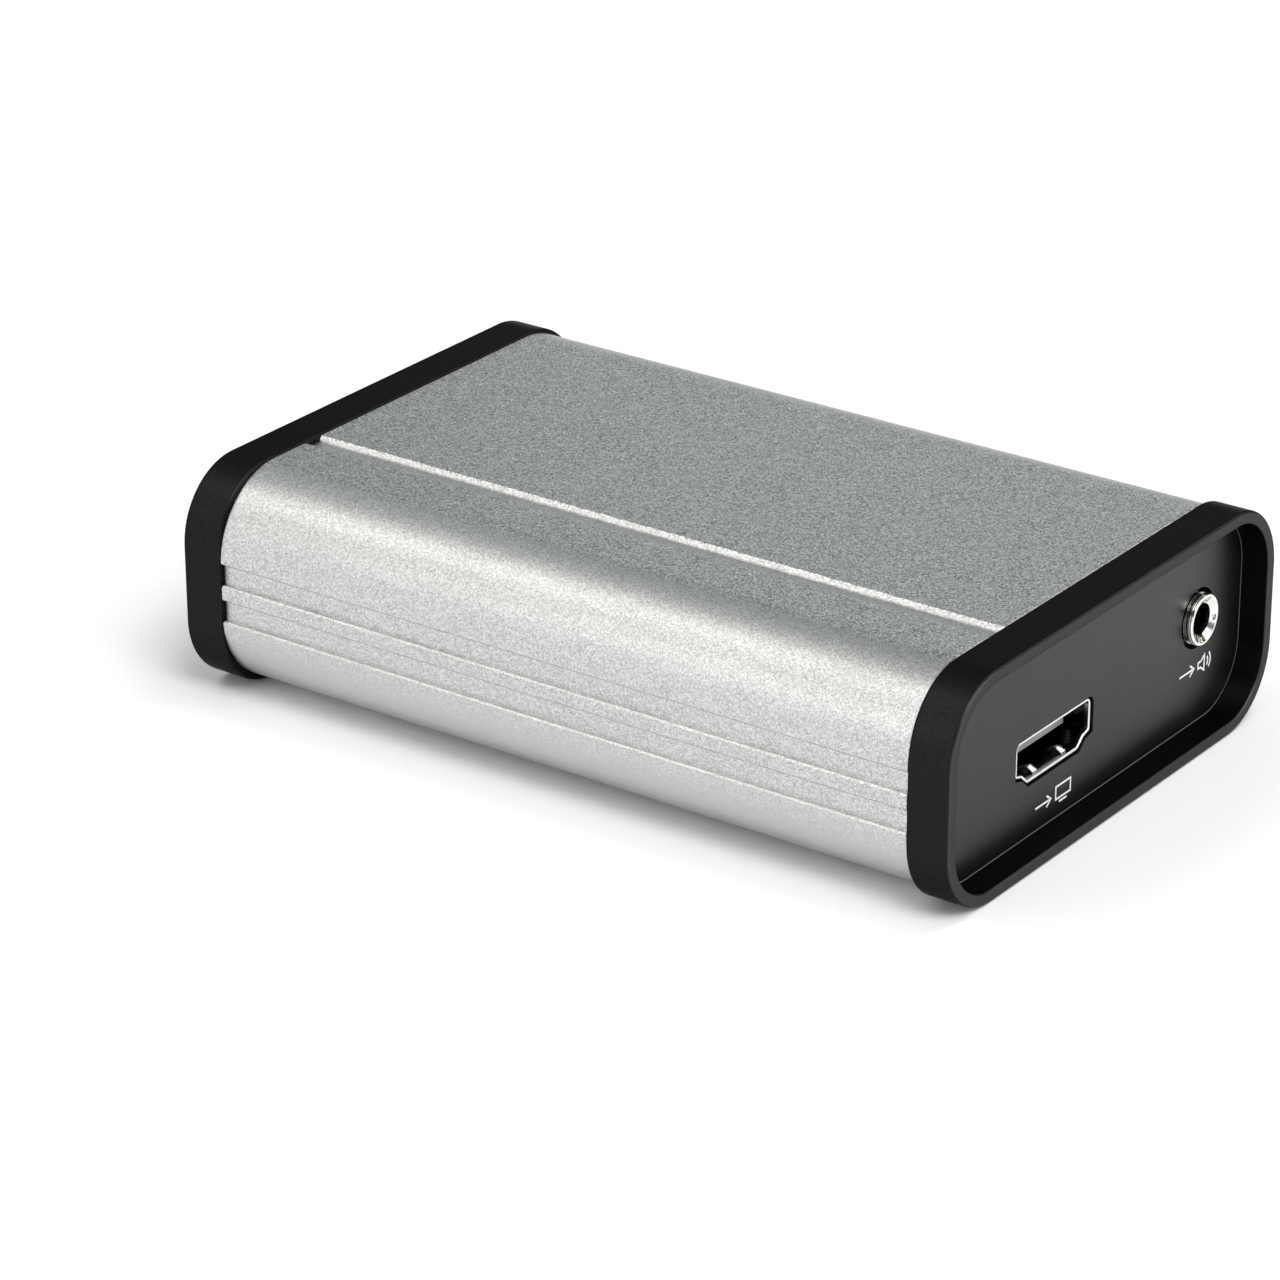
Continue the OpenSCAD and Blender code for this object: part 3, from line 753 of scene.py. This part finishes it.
        # painted light: a painted sheen on a rim, or the front's colour with painted shade behind it
        if finish.front is not None:
            given = {"Vector": place, "Start": finish.front.start, "Full": finish.front.full}
            front = graph.add("ShaderNodeGroup", given, node_tree=self.front)
            paint = graph.mixed("RGBA", front["Mask"], paint, (*finish.front.colour, 1.0))

        given = {"Vector": place, "Scale": finish.smudge_scale}
        smudge = graph.add("ShaderNodeGroup", given, node_tree=self.smudge)
        relief = {"Strength": finish.relief, "Distance": finish.relief_depth, "Height": grain["Height"]}
        values = {
            "Base Color": paint,
            "Metallic": finish.metallic,
            "Roughness": graph.mapped(smudge["Mask"], SHARE, finish.rough),
            "Specular IOR Level": finish.specular,
            "Specular Tint": (*grey(finish.grazing), 1.0),
            "Transmission Weight": finish.transmission,
            "Normal": graph.add("ShaderNodeBump", relief)["Normal"],
        }
        shader = material.node_tree.nodes["Principled BSDF"]
        for label, value in values.items():
            graph.feed(shader.inputs[label], value)
        return material


# Parts of the case


@dataclass
class Sleeve:
    """The extruded sleeve, with grooves along its sides and an accent groove on its top."""

    half_length: float = SLEEVE_END
    width: float = 64.6
    low: float = 0.5
    high: float = 25.7
    radius: float = 9.4
    wall: float = 2.2
    groove_depth: float = 0.55
    groove_width: float = 2.4
    groove_pitch: float = 4.25
    groove_middle: float = 12.95
    lip: float = 0.2
    accent_lip: float = 0.44
    edge_round: float = 0.05
    accent_wall: float = -15.1
    accent_outer: float = -17.55
    accent_slope: float = 1.05
    slope_round: float = 0.4
    end_round: float = 0.12
    end_steps: int = 4
    rail_tip: float = 27.28
    rail_heights: tuple[tuple[float, float], ...] = ((4.75, 6.05), (7.85, 9.15))
    arc_steps: int = CORNER_STEPS

    def _side_corners(self) -> Array:
        """Corners of the two grooves of the +Y side with their chamfered lips, from the lower one up.

        Returns:
            The corners in Y and Z.
        """
        outer = self.width / 2
        inner = outer - self.groove_depth
        edge = self.groove_width / 2
        depth = np.array([outer, outer - self.lip, inner, inner, outer - self.lip, outer])
        rise = np.array([-edge - self.lip, -edge, -edge, edge, edge, edge + self.lip])
        middles = self.groove_middle + np.array([-1, 1]) * self.groove_pitch / 2
        heights = middles[:, None] + rise[None]
        return np.stack((np.tile(depth, 2), heights.ravel()), axis=1)

    def _outer_outline(self) -> Array:
        """The outer section: four arcs, the side grooves and the accent groove, counter-clockwise.

        Returns:
            The outline in Y and Z.
        """
        corners = self._side_corners()
        side = self.width / 2 - self.radius
        lower, upper = self.low + self.radius, self.high - self.radius
        gap = math.degrees(math.asin((lower - corners[0, 1] + self.lip) / self.radius))
        rise = math.degrees(math.asin((corners[-1, 1] + self.lip - upper) / self.radius))
        lower_arc = arc((side, lower), self.radius, -90.0, -gap, self.arc_steps)
        upper_arc = arc((side, upper), self.radius, rise, 90.0, self.arc_steps)
        right = np.concatenate((lower_arc, corners, upper_arc))
        right_radii = np.zeros(len(right))
        right_radii[len(lower_arc):len(lower_arc) + len(corners)] = self.edge_round
        floor = self.high - self.groove_depth
        accent = np.array([
            [self.accent_wall + self.accent_lip, self.high],
            [self.accent_wall, self.high - self.accent_lip],
            [self.accent_wall, floor],
            [self.accent_outer + self.accent_slope, floor],
            [self.accent_outer, self.high],
        ])
        accent_radii = np.full(len(accent), self.edge_round)
        accent_radii[-1] = self.slope_round
        left = right[::-1] * np.array([-1.0, 1.0])
        points = np.concatenate((right, accent, left))
        return fillet(points, np.concatenate((right_radii, accent_radii, right_radii[::-1])))

    def _inner_outline(self) -> Array:
        """The section of the cavity, with the rails that hold the board, counter-clockwise.

        Returns:
            The outline in Y and Z.
        """
        half = self.width / 2 - self.wall
        radius = self.radius - self.wall
        lower, upper = self.low + self.radius, self.high - self.radius
        middle = (half - radius, lower)
        heights = np.array(self.rail_heights)
        angles = np.degrees(np.arcsin((heights - lower) / radius))
        parts = [arc(middle, radius, -90.0, angles[0, 0], self.arc_steps)]
        for (low, high), (_, top), following in zip(heights, angles, (angles[1, 0], 0.0)):
            parts.append(np.array([[self.rail_tip, low], [self.rail_tip, high]]))
            parts.append(arc(middle, radius, top, following, self.arc_steps // 4))
        parts.append(arc((half - radius, upper), radius, 0.0, 90.0, self.arc_steps))
        right = np.concatenate(parts)
        return np.concatenate((right, right[::-1] * np.array([-1.0, 1.0])))

    def build(self, finishes: FinishBook) -> bpy.types.Object:
        """Sweeps both sections along X, rounds the outer edges of the ends and closes the ends.

        Args:
            finishes: the book of materials.

        Returns:
            The sleeve's piece.
        """
        bend = arc((0.0, 0.0), self.end_round, 180.0, 90.0, self.end_steps)
        depth = bend[:, 1] - self.end_round
        start = bend[:, 0] + self.end_round - self.half_length
        rows = np.stack((depth, start), axis=1)
        outer = np.concatenate((rows, rows[::-1] * np.array([1.0, -1.0])))
        inner = np.array([[0.0, self.half_length], [0.0, -self.half_length]])
        surface = join([
            carry_section(self._outer_outline(), outer, close=False),
            carry_section(self._inner_outline(), inner, close=False),
        ])
        skin = Skin("sleeve_skin", Slot.SLEEVE, ("sleeve",), open_axis=0, sharp_angle=30.0)
        return make_piece(surface, skin, finishes)


CASE_OUTLINE = rounded_rectangle(CASE_WIDTH, 0.0, CASE_HEIGHT, CASE_RADIUS, CORNER_STEPS)


@dataclass
class Bezel:
    """A moulded frame that closes one end of the sleeve."""

    end: End
    back: float = SLEEVE_END
    front: float = 49.45
    wall: float = 1.45
    flange: float = 2.35
    flange_front: float = 45.25
    outer_round: float = 0.4
    lip_round: float = 0.25

    def build(self, finishes: FinishBook) -> bpy.types.Object:
        """Carries the frame's section round the case's outline.

        Args:
            finishes: the book of materials.

        Returns:
            The bezel's piece.
        """
        corners = np.array([
            [-self.flange, self.back],
            [0.0, self.back],
            [0.0, self.front],
            [-self.wall, self.front],
            [-self.wall, self.flange_front],
            [-self.flange, self.flange_front],
        ])
        radii = np.array([0.0, self.outer_round, self.outer_round, self.lip_round, 0.0, 0.0])
        surface = carry_section(CASE_OUTLINE, fillet(corners, radii), close=True)
        node = f"{self.end.name.lower()}_bezel"
        return make_piece(surface.at_end(self.end), Skin(f"{node}_skin", Slot.BEZEL, (node,)), finishes)


@dataclass
class PaintedPanelHighlight:
    """A thin pale strip round a panel's border: a painted highlight of the light-catching edge where the
    panel meets the bezel's inner wall.
    """

    end: End
    face: float = PANEL_FACE
    inset: float = 1.57
    width: float = 0.14
    proud: float = 0.01
    depth: float = 0.1

    def build(self, finishes: FinishBook) -> bpy.types.Object:
        """Carries the thin flat strip of painted highlight round the panel's outline.

        Args:
            finishes: the book of materials.

        Returns:
            The strip's piece.
        """
        outer, inner = -self.inset, -self.inset - self.width
        low, high = self.face - self.depth, self.face + self.proud
        section = np.array([[outer, low], [outer, high], [inner, high], [inner, low]])
        surface = carry_section(CASE_OUTLINE, section, close=True)
        name = f"{self.end.name.lower()}_panel_edge"
        return make_piece(surface.at_end(self.end), Skin(name, Slot.PANEL, finish=PAINTED_EDGE_HIGHLIGHT), finishes)


# Sockets


@dataclass
class SocketShell:
    """The sheet-metal shell of a socket, with a rounded mouth and four legs into the board."""

    node: str
    mouth: Array
    end: End
    back: float
    leg_places: tuple[float, float]
    leg_half: float
    leg_top: float
    front: float = 46.05
    leg_foot: float = 5.25
    sheet: float = 0.35
    mouth_round: float = 0.12
    leg_inset: float = 0.02

    def build(self, finishes: FinishBook) -> bpy.types.Object:
        """Carries the sheet's section round the mouth and joins the legs to it.

        Args:
            finishes: the book of materials.

        Returns:
            The shell's piece.
        """
        corners = np.array([
            [0.0, self.back], [self.sheet, self.back], [self.sheet, self.front], [0.0, self.front],
        ])
        section = fillet(corners, np.array([0.0, 0.0, self.mouth_round, self.mouth_round]))
        parts = [carry_section(self.mouth, section, close=True)]
        thin = self.sheet / 2 - self.leg_inset
        sides = (self.mouth[:, 0].min() - self.sheet / 2, self.mouth[:, 0].max() + self.sheet / 2)
        for x in (self.front - place for place in self.leg_places):
            for y in sides:
                low = np.array([x - self.leg_half, y - thin, self.leg_foot])
                high = np.array([x + self.leg_half, y + thin, self.leg_top])
                parts.append(block(low, high))
        surface = join(parts).at_end(self.end)
        return make_piece(surface, Skin(f"{self.node}_skin", Slot.SHELL, (self.node,)), finishes)


def video_socket() -> SocketShell:
    """The video socket, whose mouth narrows below its shoulders.

    Returns:
        The socket's shell.
    """
    right = np.array([[4.85, 0.0], [6.0, 1.02], [7.0, 1.3], [7.0, 4.55]])
    points = np.concatenate((right, right[::-1] * np.array([-1.0, 1.0])))
    radii = np.array([0.25, 0.2, 0.15, 0.5])
    mouth = fillet(points, np.concatenate((radii, radii[::-1]))) + np.array([VIDEO_Y, SOCKET_FLOOR])
    return SocketShell(
        "video_socket_shell", mouth, End.INPUT, back=34.55,
        leg_places=(4.0, 9.5), leg_half=0.6, leg_top=10.5,
    )


def data_socket() -> SocketShell:
    """The data socket, whose mouth has half-round sides.

    Returns:
        The socket's shell.
    """
    mouth = rounded_rectangle(width=8.34, low=SOCKET_FLOOR, high=10.56, radius=1.279)
    return SocketShell(
        "data_socket_shell", mouth, End.OUTPUT, back=38.7,
        leg_places=(2.2, 5.8), leg_half=0.45, leg_top=9.28,
    )


@dataclass
class SpringLeaf:
    """The two leaf springs on the floor of the video socket, each a bent strip with a crowned crest."""

    y: float = VIDEO_Y
    spread: float = 2.8
    width: float = 0.9
    back: float = 43.7
    floor: float = SOCKET_FLOOR
    thick: float = 0.12
    foot: float = 0.4
    crest: float = 1.1
    crest_rise: float = 0.58
    tip: float = 1.9
    tip_rise: float = 0.06
    foot_round: float = 0.1
    crest_round: float = 0.35
    crown: float = 0.12
    rows: int = 9

    def build(self, finishes: FinishBook) -> bpy.types.Object:
        """Draws the bent strip from the side and gives it its width.

        At the share u of the half width, the height over the floor is multiplied by 1 - crown * u * u.

        Args:
            finishes: the book of materials.

        Returns:
            The piece with both leaves.
        """
        corners = np.array([
            [0.0, 0.0],
            [self.foot, 0.0],
            [self.crest, self.crest_rise],
            [self.tip, self.tip_rise],
            [self.tip, self.tip_rise + self.thick],
            [self.crest, self.crest_rise + self.thick],
            [0.0, self.thick],
        ])
        hollow = self.crest_round - self.thick
        radii = np.array([0.0, self.foot_round, hollow, 0.0, 0.0, self.crest_round, 0.0])
        outline = fillet(corners, radii) + np.array([self.back, self.floor])
        across = np.linspace(1.0, -1.0, self.rows)
        section = np.stack((np.zeros(self.rows), across * self.width / 2), axis=1)
        strip = carry_section(outline, section, close=False)
        crown = 1 - self.crown * np.repeat(across, len(outline)) ** 2
        leaf = strip.vertices[:, [1, 0, 2]]
        leaf[:, 2] = self.floor + (leaf[:, 2] - self.floor) * crown
        sides = np.array([[0.0, self.y - self.spread, 0.0], [0.0, self.y + self.spread, 0.0]])
        leaves = join([Surface(leaf + side, strip.faces) for side in sides])
        node = "video_socket_springs"
        return make_piece(leaves, Skin(f"{node}_skin", Slot.SHELL, (node,), LEAF, open_axis=1), finishes)


@dataclass
class AudioJack:
    """The turned barrel of the audio jack, with rings, a wide mouth and four spanner notches."""

    y: float = 21.7
    z: float = 13.95
    back: float = 41.35
    shoulder: float = 44.85
    front: float = 47.15
    tail: float = 2.5
    outer: float = 2.9
    bore: float = 1.8
    mouth: float = 2.55
    mouth_depth: float = 0.45
    ring_depth: float = 0.3
    line_depth: float = 0.07
    ring_round: float = 0.02
    rim_round: float = 0.14
    mouth_round: float = 0.04
    notch_depth: float = 0.4
    notch_half: float = 7.0
    notch_turn: float = -12.0
    notch_pitch: float = 90.0
    notch_walls: tuple[float, ...] = (0.12, 0.15, 0.66, 0.69)
    steps: int = 180

    def _section(self) -> Array:
        """The barrel's section as rows of radius and X, from the tail round to the bore.

        Returns:
            The section.
        """
        waist = self.outer - self.ring_depth
        rings = np.array([
            [self.outer, -1.6], [waist, -1.5], [waist, -1.25], [self.outer, -1.18],
            [self.outer, -1.0], [waist, -0.93], [waist, -0.62], [self.outer, -0.55],
            [self.outer, -0.32], [self.outer - self.line_depth, -0.28], [self.outer, -0.24],
            [self.outer, 0.0], [self.mouth, 0.0],
        ])
        rings[:, 1] += self.front
        share = np.array(self.notch_walls)[:, None]
        rim = np.array([self.mouth, self.front])
        finish = np.array([[self.bore, self.front - self.mouth_depth]])
        cone = rim + share * (finish - rim)
        start = np.array([
            [self.bore, self.back],
            [self.tail, self.back],
            [self.tail, self.shoulder],
            [self.outer, self.shoulder],
        ])
        radii = np.concatenate((
            np.zeros(len(start)),
            np.full(len(rings) - 2, self.ring_round),
            np.array([self.rim_round, self.mouth_round]),
            np.zeros(len(cone) + len(finish)),
        ))
        return fillet(np.concatenate((start, rings, cone, finish)), radii, steps=5)

    def build(self, finishes: FinishBook) -> bpy.types.Object:
        """Turns the section about the jack's axis and sinks the notches into the mouth's cone.

        A point of the cone at turn t moves back by the notch's depth where t is inside a notch.

        Args:
            finishes: the book of materials.

        Returns:
            The barrel's piece.
        """
        section = self._section()
        turn = np.linspace(0.0, 2 * np.pi, self.steps, endpoint=False)
        radius = np.broadcast_to(section[:, 0, None], (len(section), self.steps))
        half_pitch = self.notch_pitch / 2
        from_notch = (np.degrees(turn) - self.notch_turn + half_pitch) % self.notch_pitch - half_pitch
        inside = np.abs(from_notch) < self.notch_half
        depth = (self.front - section[:, 1]) / self.mouth_depth
        first, last = np.reshape(self.notch_walls, (2, 2)).mean(axis=1)
        cone = (section[:, 0] < self.mouth) & (depth > first) & (depth < last)
        along = section[:, 1, None] - self.notch_depth * (cone[:, None] & inside[None])
        vertices = np.stack((
            along,
            self.y + radius * np.cos(turn),
            self.z + radius * np.sin(turn),
        ), axis=-1).reshape(-1, 3)
        surface = Surface(vertices, grid_faces(len(section), self.steps, close_rows=True))
        skin = Skin("audio_jack_barrel_skin", Slot.BARREL, ("audio_jack_barrel",))
        return make_piece(surface, skin, finishes)


@dataclass(frozen=True)
class Stroke:
    """A line of a printed sign, about the sign's middle."""

    points: tuple[tuple[float, float], ...]
    closed: bool = False


WAVE_MIDDLE = (1.75, 0.0)
WAVE_HALF = 42.0
WAVE_STEPS = 10


def wave(radius: float) -> Stroke:
    """A sound wave of the loudspeaker sign.

    Args:
        radius: radius of the wave.

    Returns:
        The stroke.
    """
    return Stroke(tuple(map(tuple, arc(WAVE_MIDDLE, radius, -WAVE_HALF, WAVE_HALF, WAVE_STEPS))))


ARROW_SIGN = (
    Stroke(((-3.5, 0.0), (-0.55, 0.0))),
    Stroke(((-1.3, -0.65), (-0.45, 0.0), (-1.3, 0.65))),
)
SCREEN_SIGN = ARROW_SIGN + (
    Stroke(((0.5, -0.5), (3.4, -0.5), (3.4, 0.95), (0.5, 0.95)), closed=True),
    Stroke(((1.2, -0.95), (2.7, -0.95))),
)
SPEAKER_SIGN = ARROW_SIGN + (
    Stroke(
        ((0.45, -0.35), (1.0, -0.35), (1.75, -0.9), (1.75, 0.9), (1.0, 0.35), (0.45, 0.35)), closed=True,
    ),
    wave(0.75),
    wave(1.3),
)


@dataclass
class InputMark:
    """A plain input sign printed on the panel: an arrow into a screen or a loudspeaker."""

    name: str
    y: float
    z: float
    strokes: tuple[Stroke, ...]
    face: float = PANEL_FACE
    thick: float = 0.012
    width: float = 0.23

    def build(self, finishes: FinishBook) -> bpy.types.Object:
        """Makes the sign's lines as thin ribbons on the panel's face.

        Args:
            finishes: the book of materials.

        Returns:
            The sign's piece.
        """
        low, high = self.face - self.thick, self.face + self.thick
        middle = np.array([self.y, self.z])
        surface = join([
            ribbon(np.array(stroke.points) + middle, self.width, low, high, stroke.closed)
            for stroke in self.strokes
        ])
        return make_piece(surface, Skin(self.name, Slot.PANEL, finish=PRINT), finishes)


def dress_nodes(frame: dict, finishes: FinishBook) -> None:
    """Gives each CAD node the finish of its slot.

    Args:
        frame: the loaded frame.
        finishes: the book of materials.
    """
    slots = {part["node"]: part["material_slot"] for part in frame["record"]["subparts"]}
    for name, node in frame["nodes"].items():
        material = finishes.material(Slot(slots[name]))
        node.data.materials.clear()
        node.data.materials.append(material)
        LOG.info("node %s: %s", name, slots[name])


# Studio


@dataclass(frozen=True)
class Softbox:
    """A square studio light that points at the case."""

    name: str
    azimuth: float
    elevation: float
    radiance: float
    tint: Colour = (1.0, 1.0, 1.0)
    distance: float = 3.0
    side: float = 1.26

    def build(self) -> bpy.types.Object:
        """Hangs the light and turns it to the case.

        A flat light of even radiance L gives off the power pi * L * area.

        Returns:
            The light.
        """
        lamp = bpy.data.lights.new(self.name, "AREA")
        lamp.shape = "SQUARE"
        lamp.size = self.side
        lamp.color = self.tint
        lamp.energy = math.pi * self.radiance * self.side**2
        turn, rise = math.radians(self.azimuth), math.radians(self.elevation)
        away = Vector((math.cos(rise) * math.cos(turn), math.cos(rise) * math.sin(turn), math.sin(rise)))
        light = bpy.data.objects.new(self.name, lamp)
        light.location = away * self.distance
        light.rotation_euler = away.to_track_quat("Z", "Y").to_euler()
        bpy.context.scene.collection.objects.link(light)
        return light


WARM: Colour = (0.995, 1.0, 0.965)
COOL: Colour = (0.94, 1.0, 0.985)


@dataclass
class Studio:
    """The floor, the lights, the dim surroundings and the camera."""

    eye: tuple[float, float, float] = (279.597, -401.898, 228.782)
    right: tuple[float, float, float] = (0.81035, 0.58594, -0.00222)
    up: tuple[float, float, float] = (-0.23999, 0.33535, 0.91101)
    back: tuple[float, float, float] = (0.53454, -0.73771, 0.41237)
    lens: float = 138.442
    sensor: float = 36.0
    floor_half: float = 4.0
    floor_drop: float = 0.00002
    floor_colour: Colour = grey(0.96)
    floor_rough: float = 0.9
    floor_specular: float = 0.1
    surround: float = 0.02
    softboxes: tuple[Softbox, ...] = (
        Softbox("key_high", -30.0, 54.0, 8.0),
        Softbox("key_right", 0.0, 54.0, 1.3),
        Softbox("right_fill", 5.0, 32.0, 3.4),
        Softbox("overhead", 45.0, 74.0, 3.3),
        Softbox("front_low", -60.0, 12.0, 1.9),
        Softbox("right_low", 30.0, 12.0, 3.4),
        Softbox("right_back", 72.0, 39.0, 3.0),
        Softbox("left_high", -150.0, 54.0, 2.7, WARM),
        Softbox("left_front", -120.0, 32.0, 2.25, WARM),
        Softbox("left_low", -120.0, 12.0, 1.6),
        Softbox("left_side", -150.0, 32.0, 0.5, WARM),
        Softbox("left_far", 180.0, 54.0, 0.55, WARM),
        Softbox("front_high", -90.0, 54.0, 1.4),
        Softbox("front_mid", -90.0, 20.0, 1.5),
        Softbox("back_high", 150.0, 54.0, 0.5, COOL),
        Softbox("back_left", 150.0, 32.0, 0.49, COOL),
        Softbox("back_right", 120.0, 32.0, 0.49, COOL),
        Softbox("back_low_left", 150.0, 12.0, 0.49, COOL),
        Softbox("back_low_right", 120.0, 12.0, 0.49, COOL),
    )

    def build(self) -> None:
        """Makes everything round the case."""
        self._camera()
        self._floor()
        self._surroundings()
        for softbox in self.softboxes:
            softbox.build()
        bpy.context.scene.view_settings.view_transform = "Standard"

    def _camera(self) -> None:
        """Sets the camera where the case is seen from."""
        data = bpy.data.cameras.new("camera")
        data.lens = self.lens
        data.sensor_width = self.sensor
        camera = bpy.data.objects.new("camera", data)
        turn = Matrix((self.right, self.up, self.back)).transposed().to_4x4()
        camera.matrix_world = Matrix.Translation(Vector(self.eye) * MM) @ turn
        bpy.context.scene.collection.objects.link(camera)
        bpy.context.scene.camera = camera

    def _floor(self) -> None:
        """Lays the pale floor under the case."""
        half = self.floor_half
        corners = np.array([[-half, -half], [half, -half], [half, half], [-half, half]])
        heights = np.full((4, 1), -self.floor_drop)
        mesh = bpy.data.meshes.new("floor")
        mesh.from_pydata(np.concatenate((corners, heights), axis=1).tolist(), [], [(0, 1, 2, 3)])
        floor = bpy.data.objects.new("floor", mesh)
        material = bpy.data.materials.new("floor_pale")
        material.use_nodes = True
        shader = material.node_tree.nodes["Principled BSDF"]
        shader.inputs["Base Color"].default_value = (*self.floor_colour, 1.0)
        shader.inputs["Roughness"].default_value = self.floor_rough
        shader.inputs["Specular IOR Level"].default_value = self.floor_specular
        mesh.materials.append(material)
        bpy.context.scene.collection.objects.link(floor)

    def _surroundings(self) -> None:
        """Fills the studio with a dim even light."""
        world = bpy.data.worlds.new("studio")
        world.use_nodes = True
        sky = world.node_tree.nodes["Background"]
        sky.inputs["Color"].default_value = (1.0, 1.0, 1.0, 1.0)
        sky.inputs["Strength"].default_value = self.surround
        bpy.context.scene.world = world


def main() -> None:
    """Builds the case, its sockets and the studio, in that order."""
    logging.basicConfig(level=logging.INFO, format="%(name)s: %(message)s")
    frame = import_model()
    finishes = FinishBook()
    dress_nodes(frame, finishes)
    Sleeve().build(finishes)
    for end in End:
        Bezel(end).build(finishes)
        PaintedPanelHighlight(end).build(finishes)
    video_socket().build(finishes)
    data_socket().build(finishes)
    SpringLeaf().build(finishes)
    AudioJack().build(finishes)
    InputMark("video_input_mark", VIDEO_Y, 4.2, SCREEN_SIGN).build(finishes)
    InputMark("audio_input_mark", 21.8, 8.1, SPEAKER_SIGN).build(finishes)
    Studio().build()


if __name__ == "__main__":
    main()
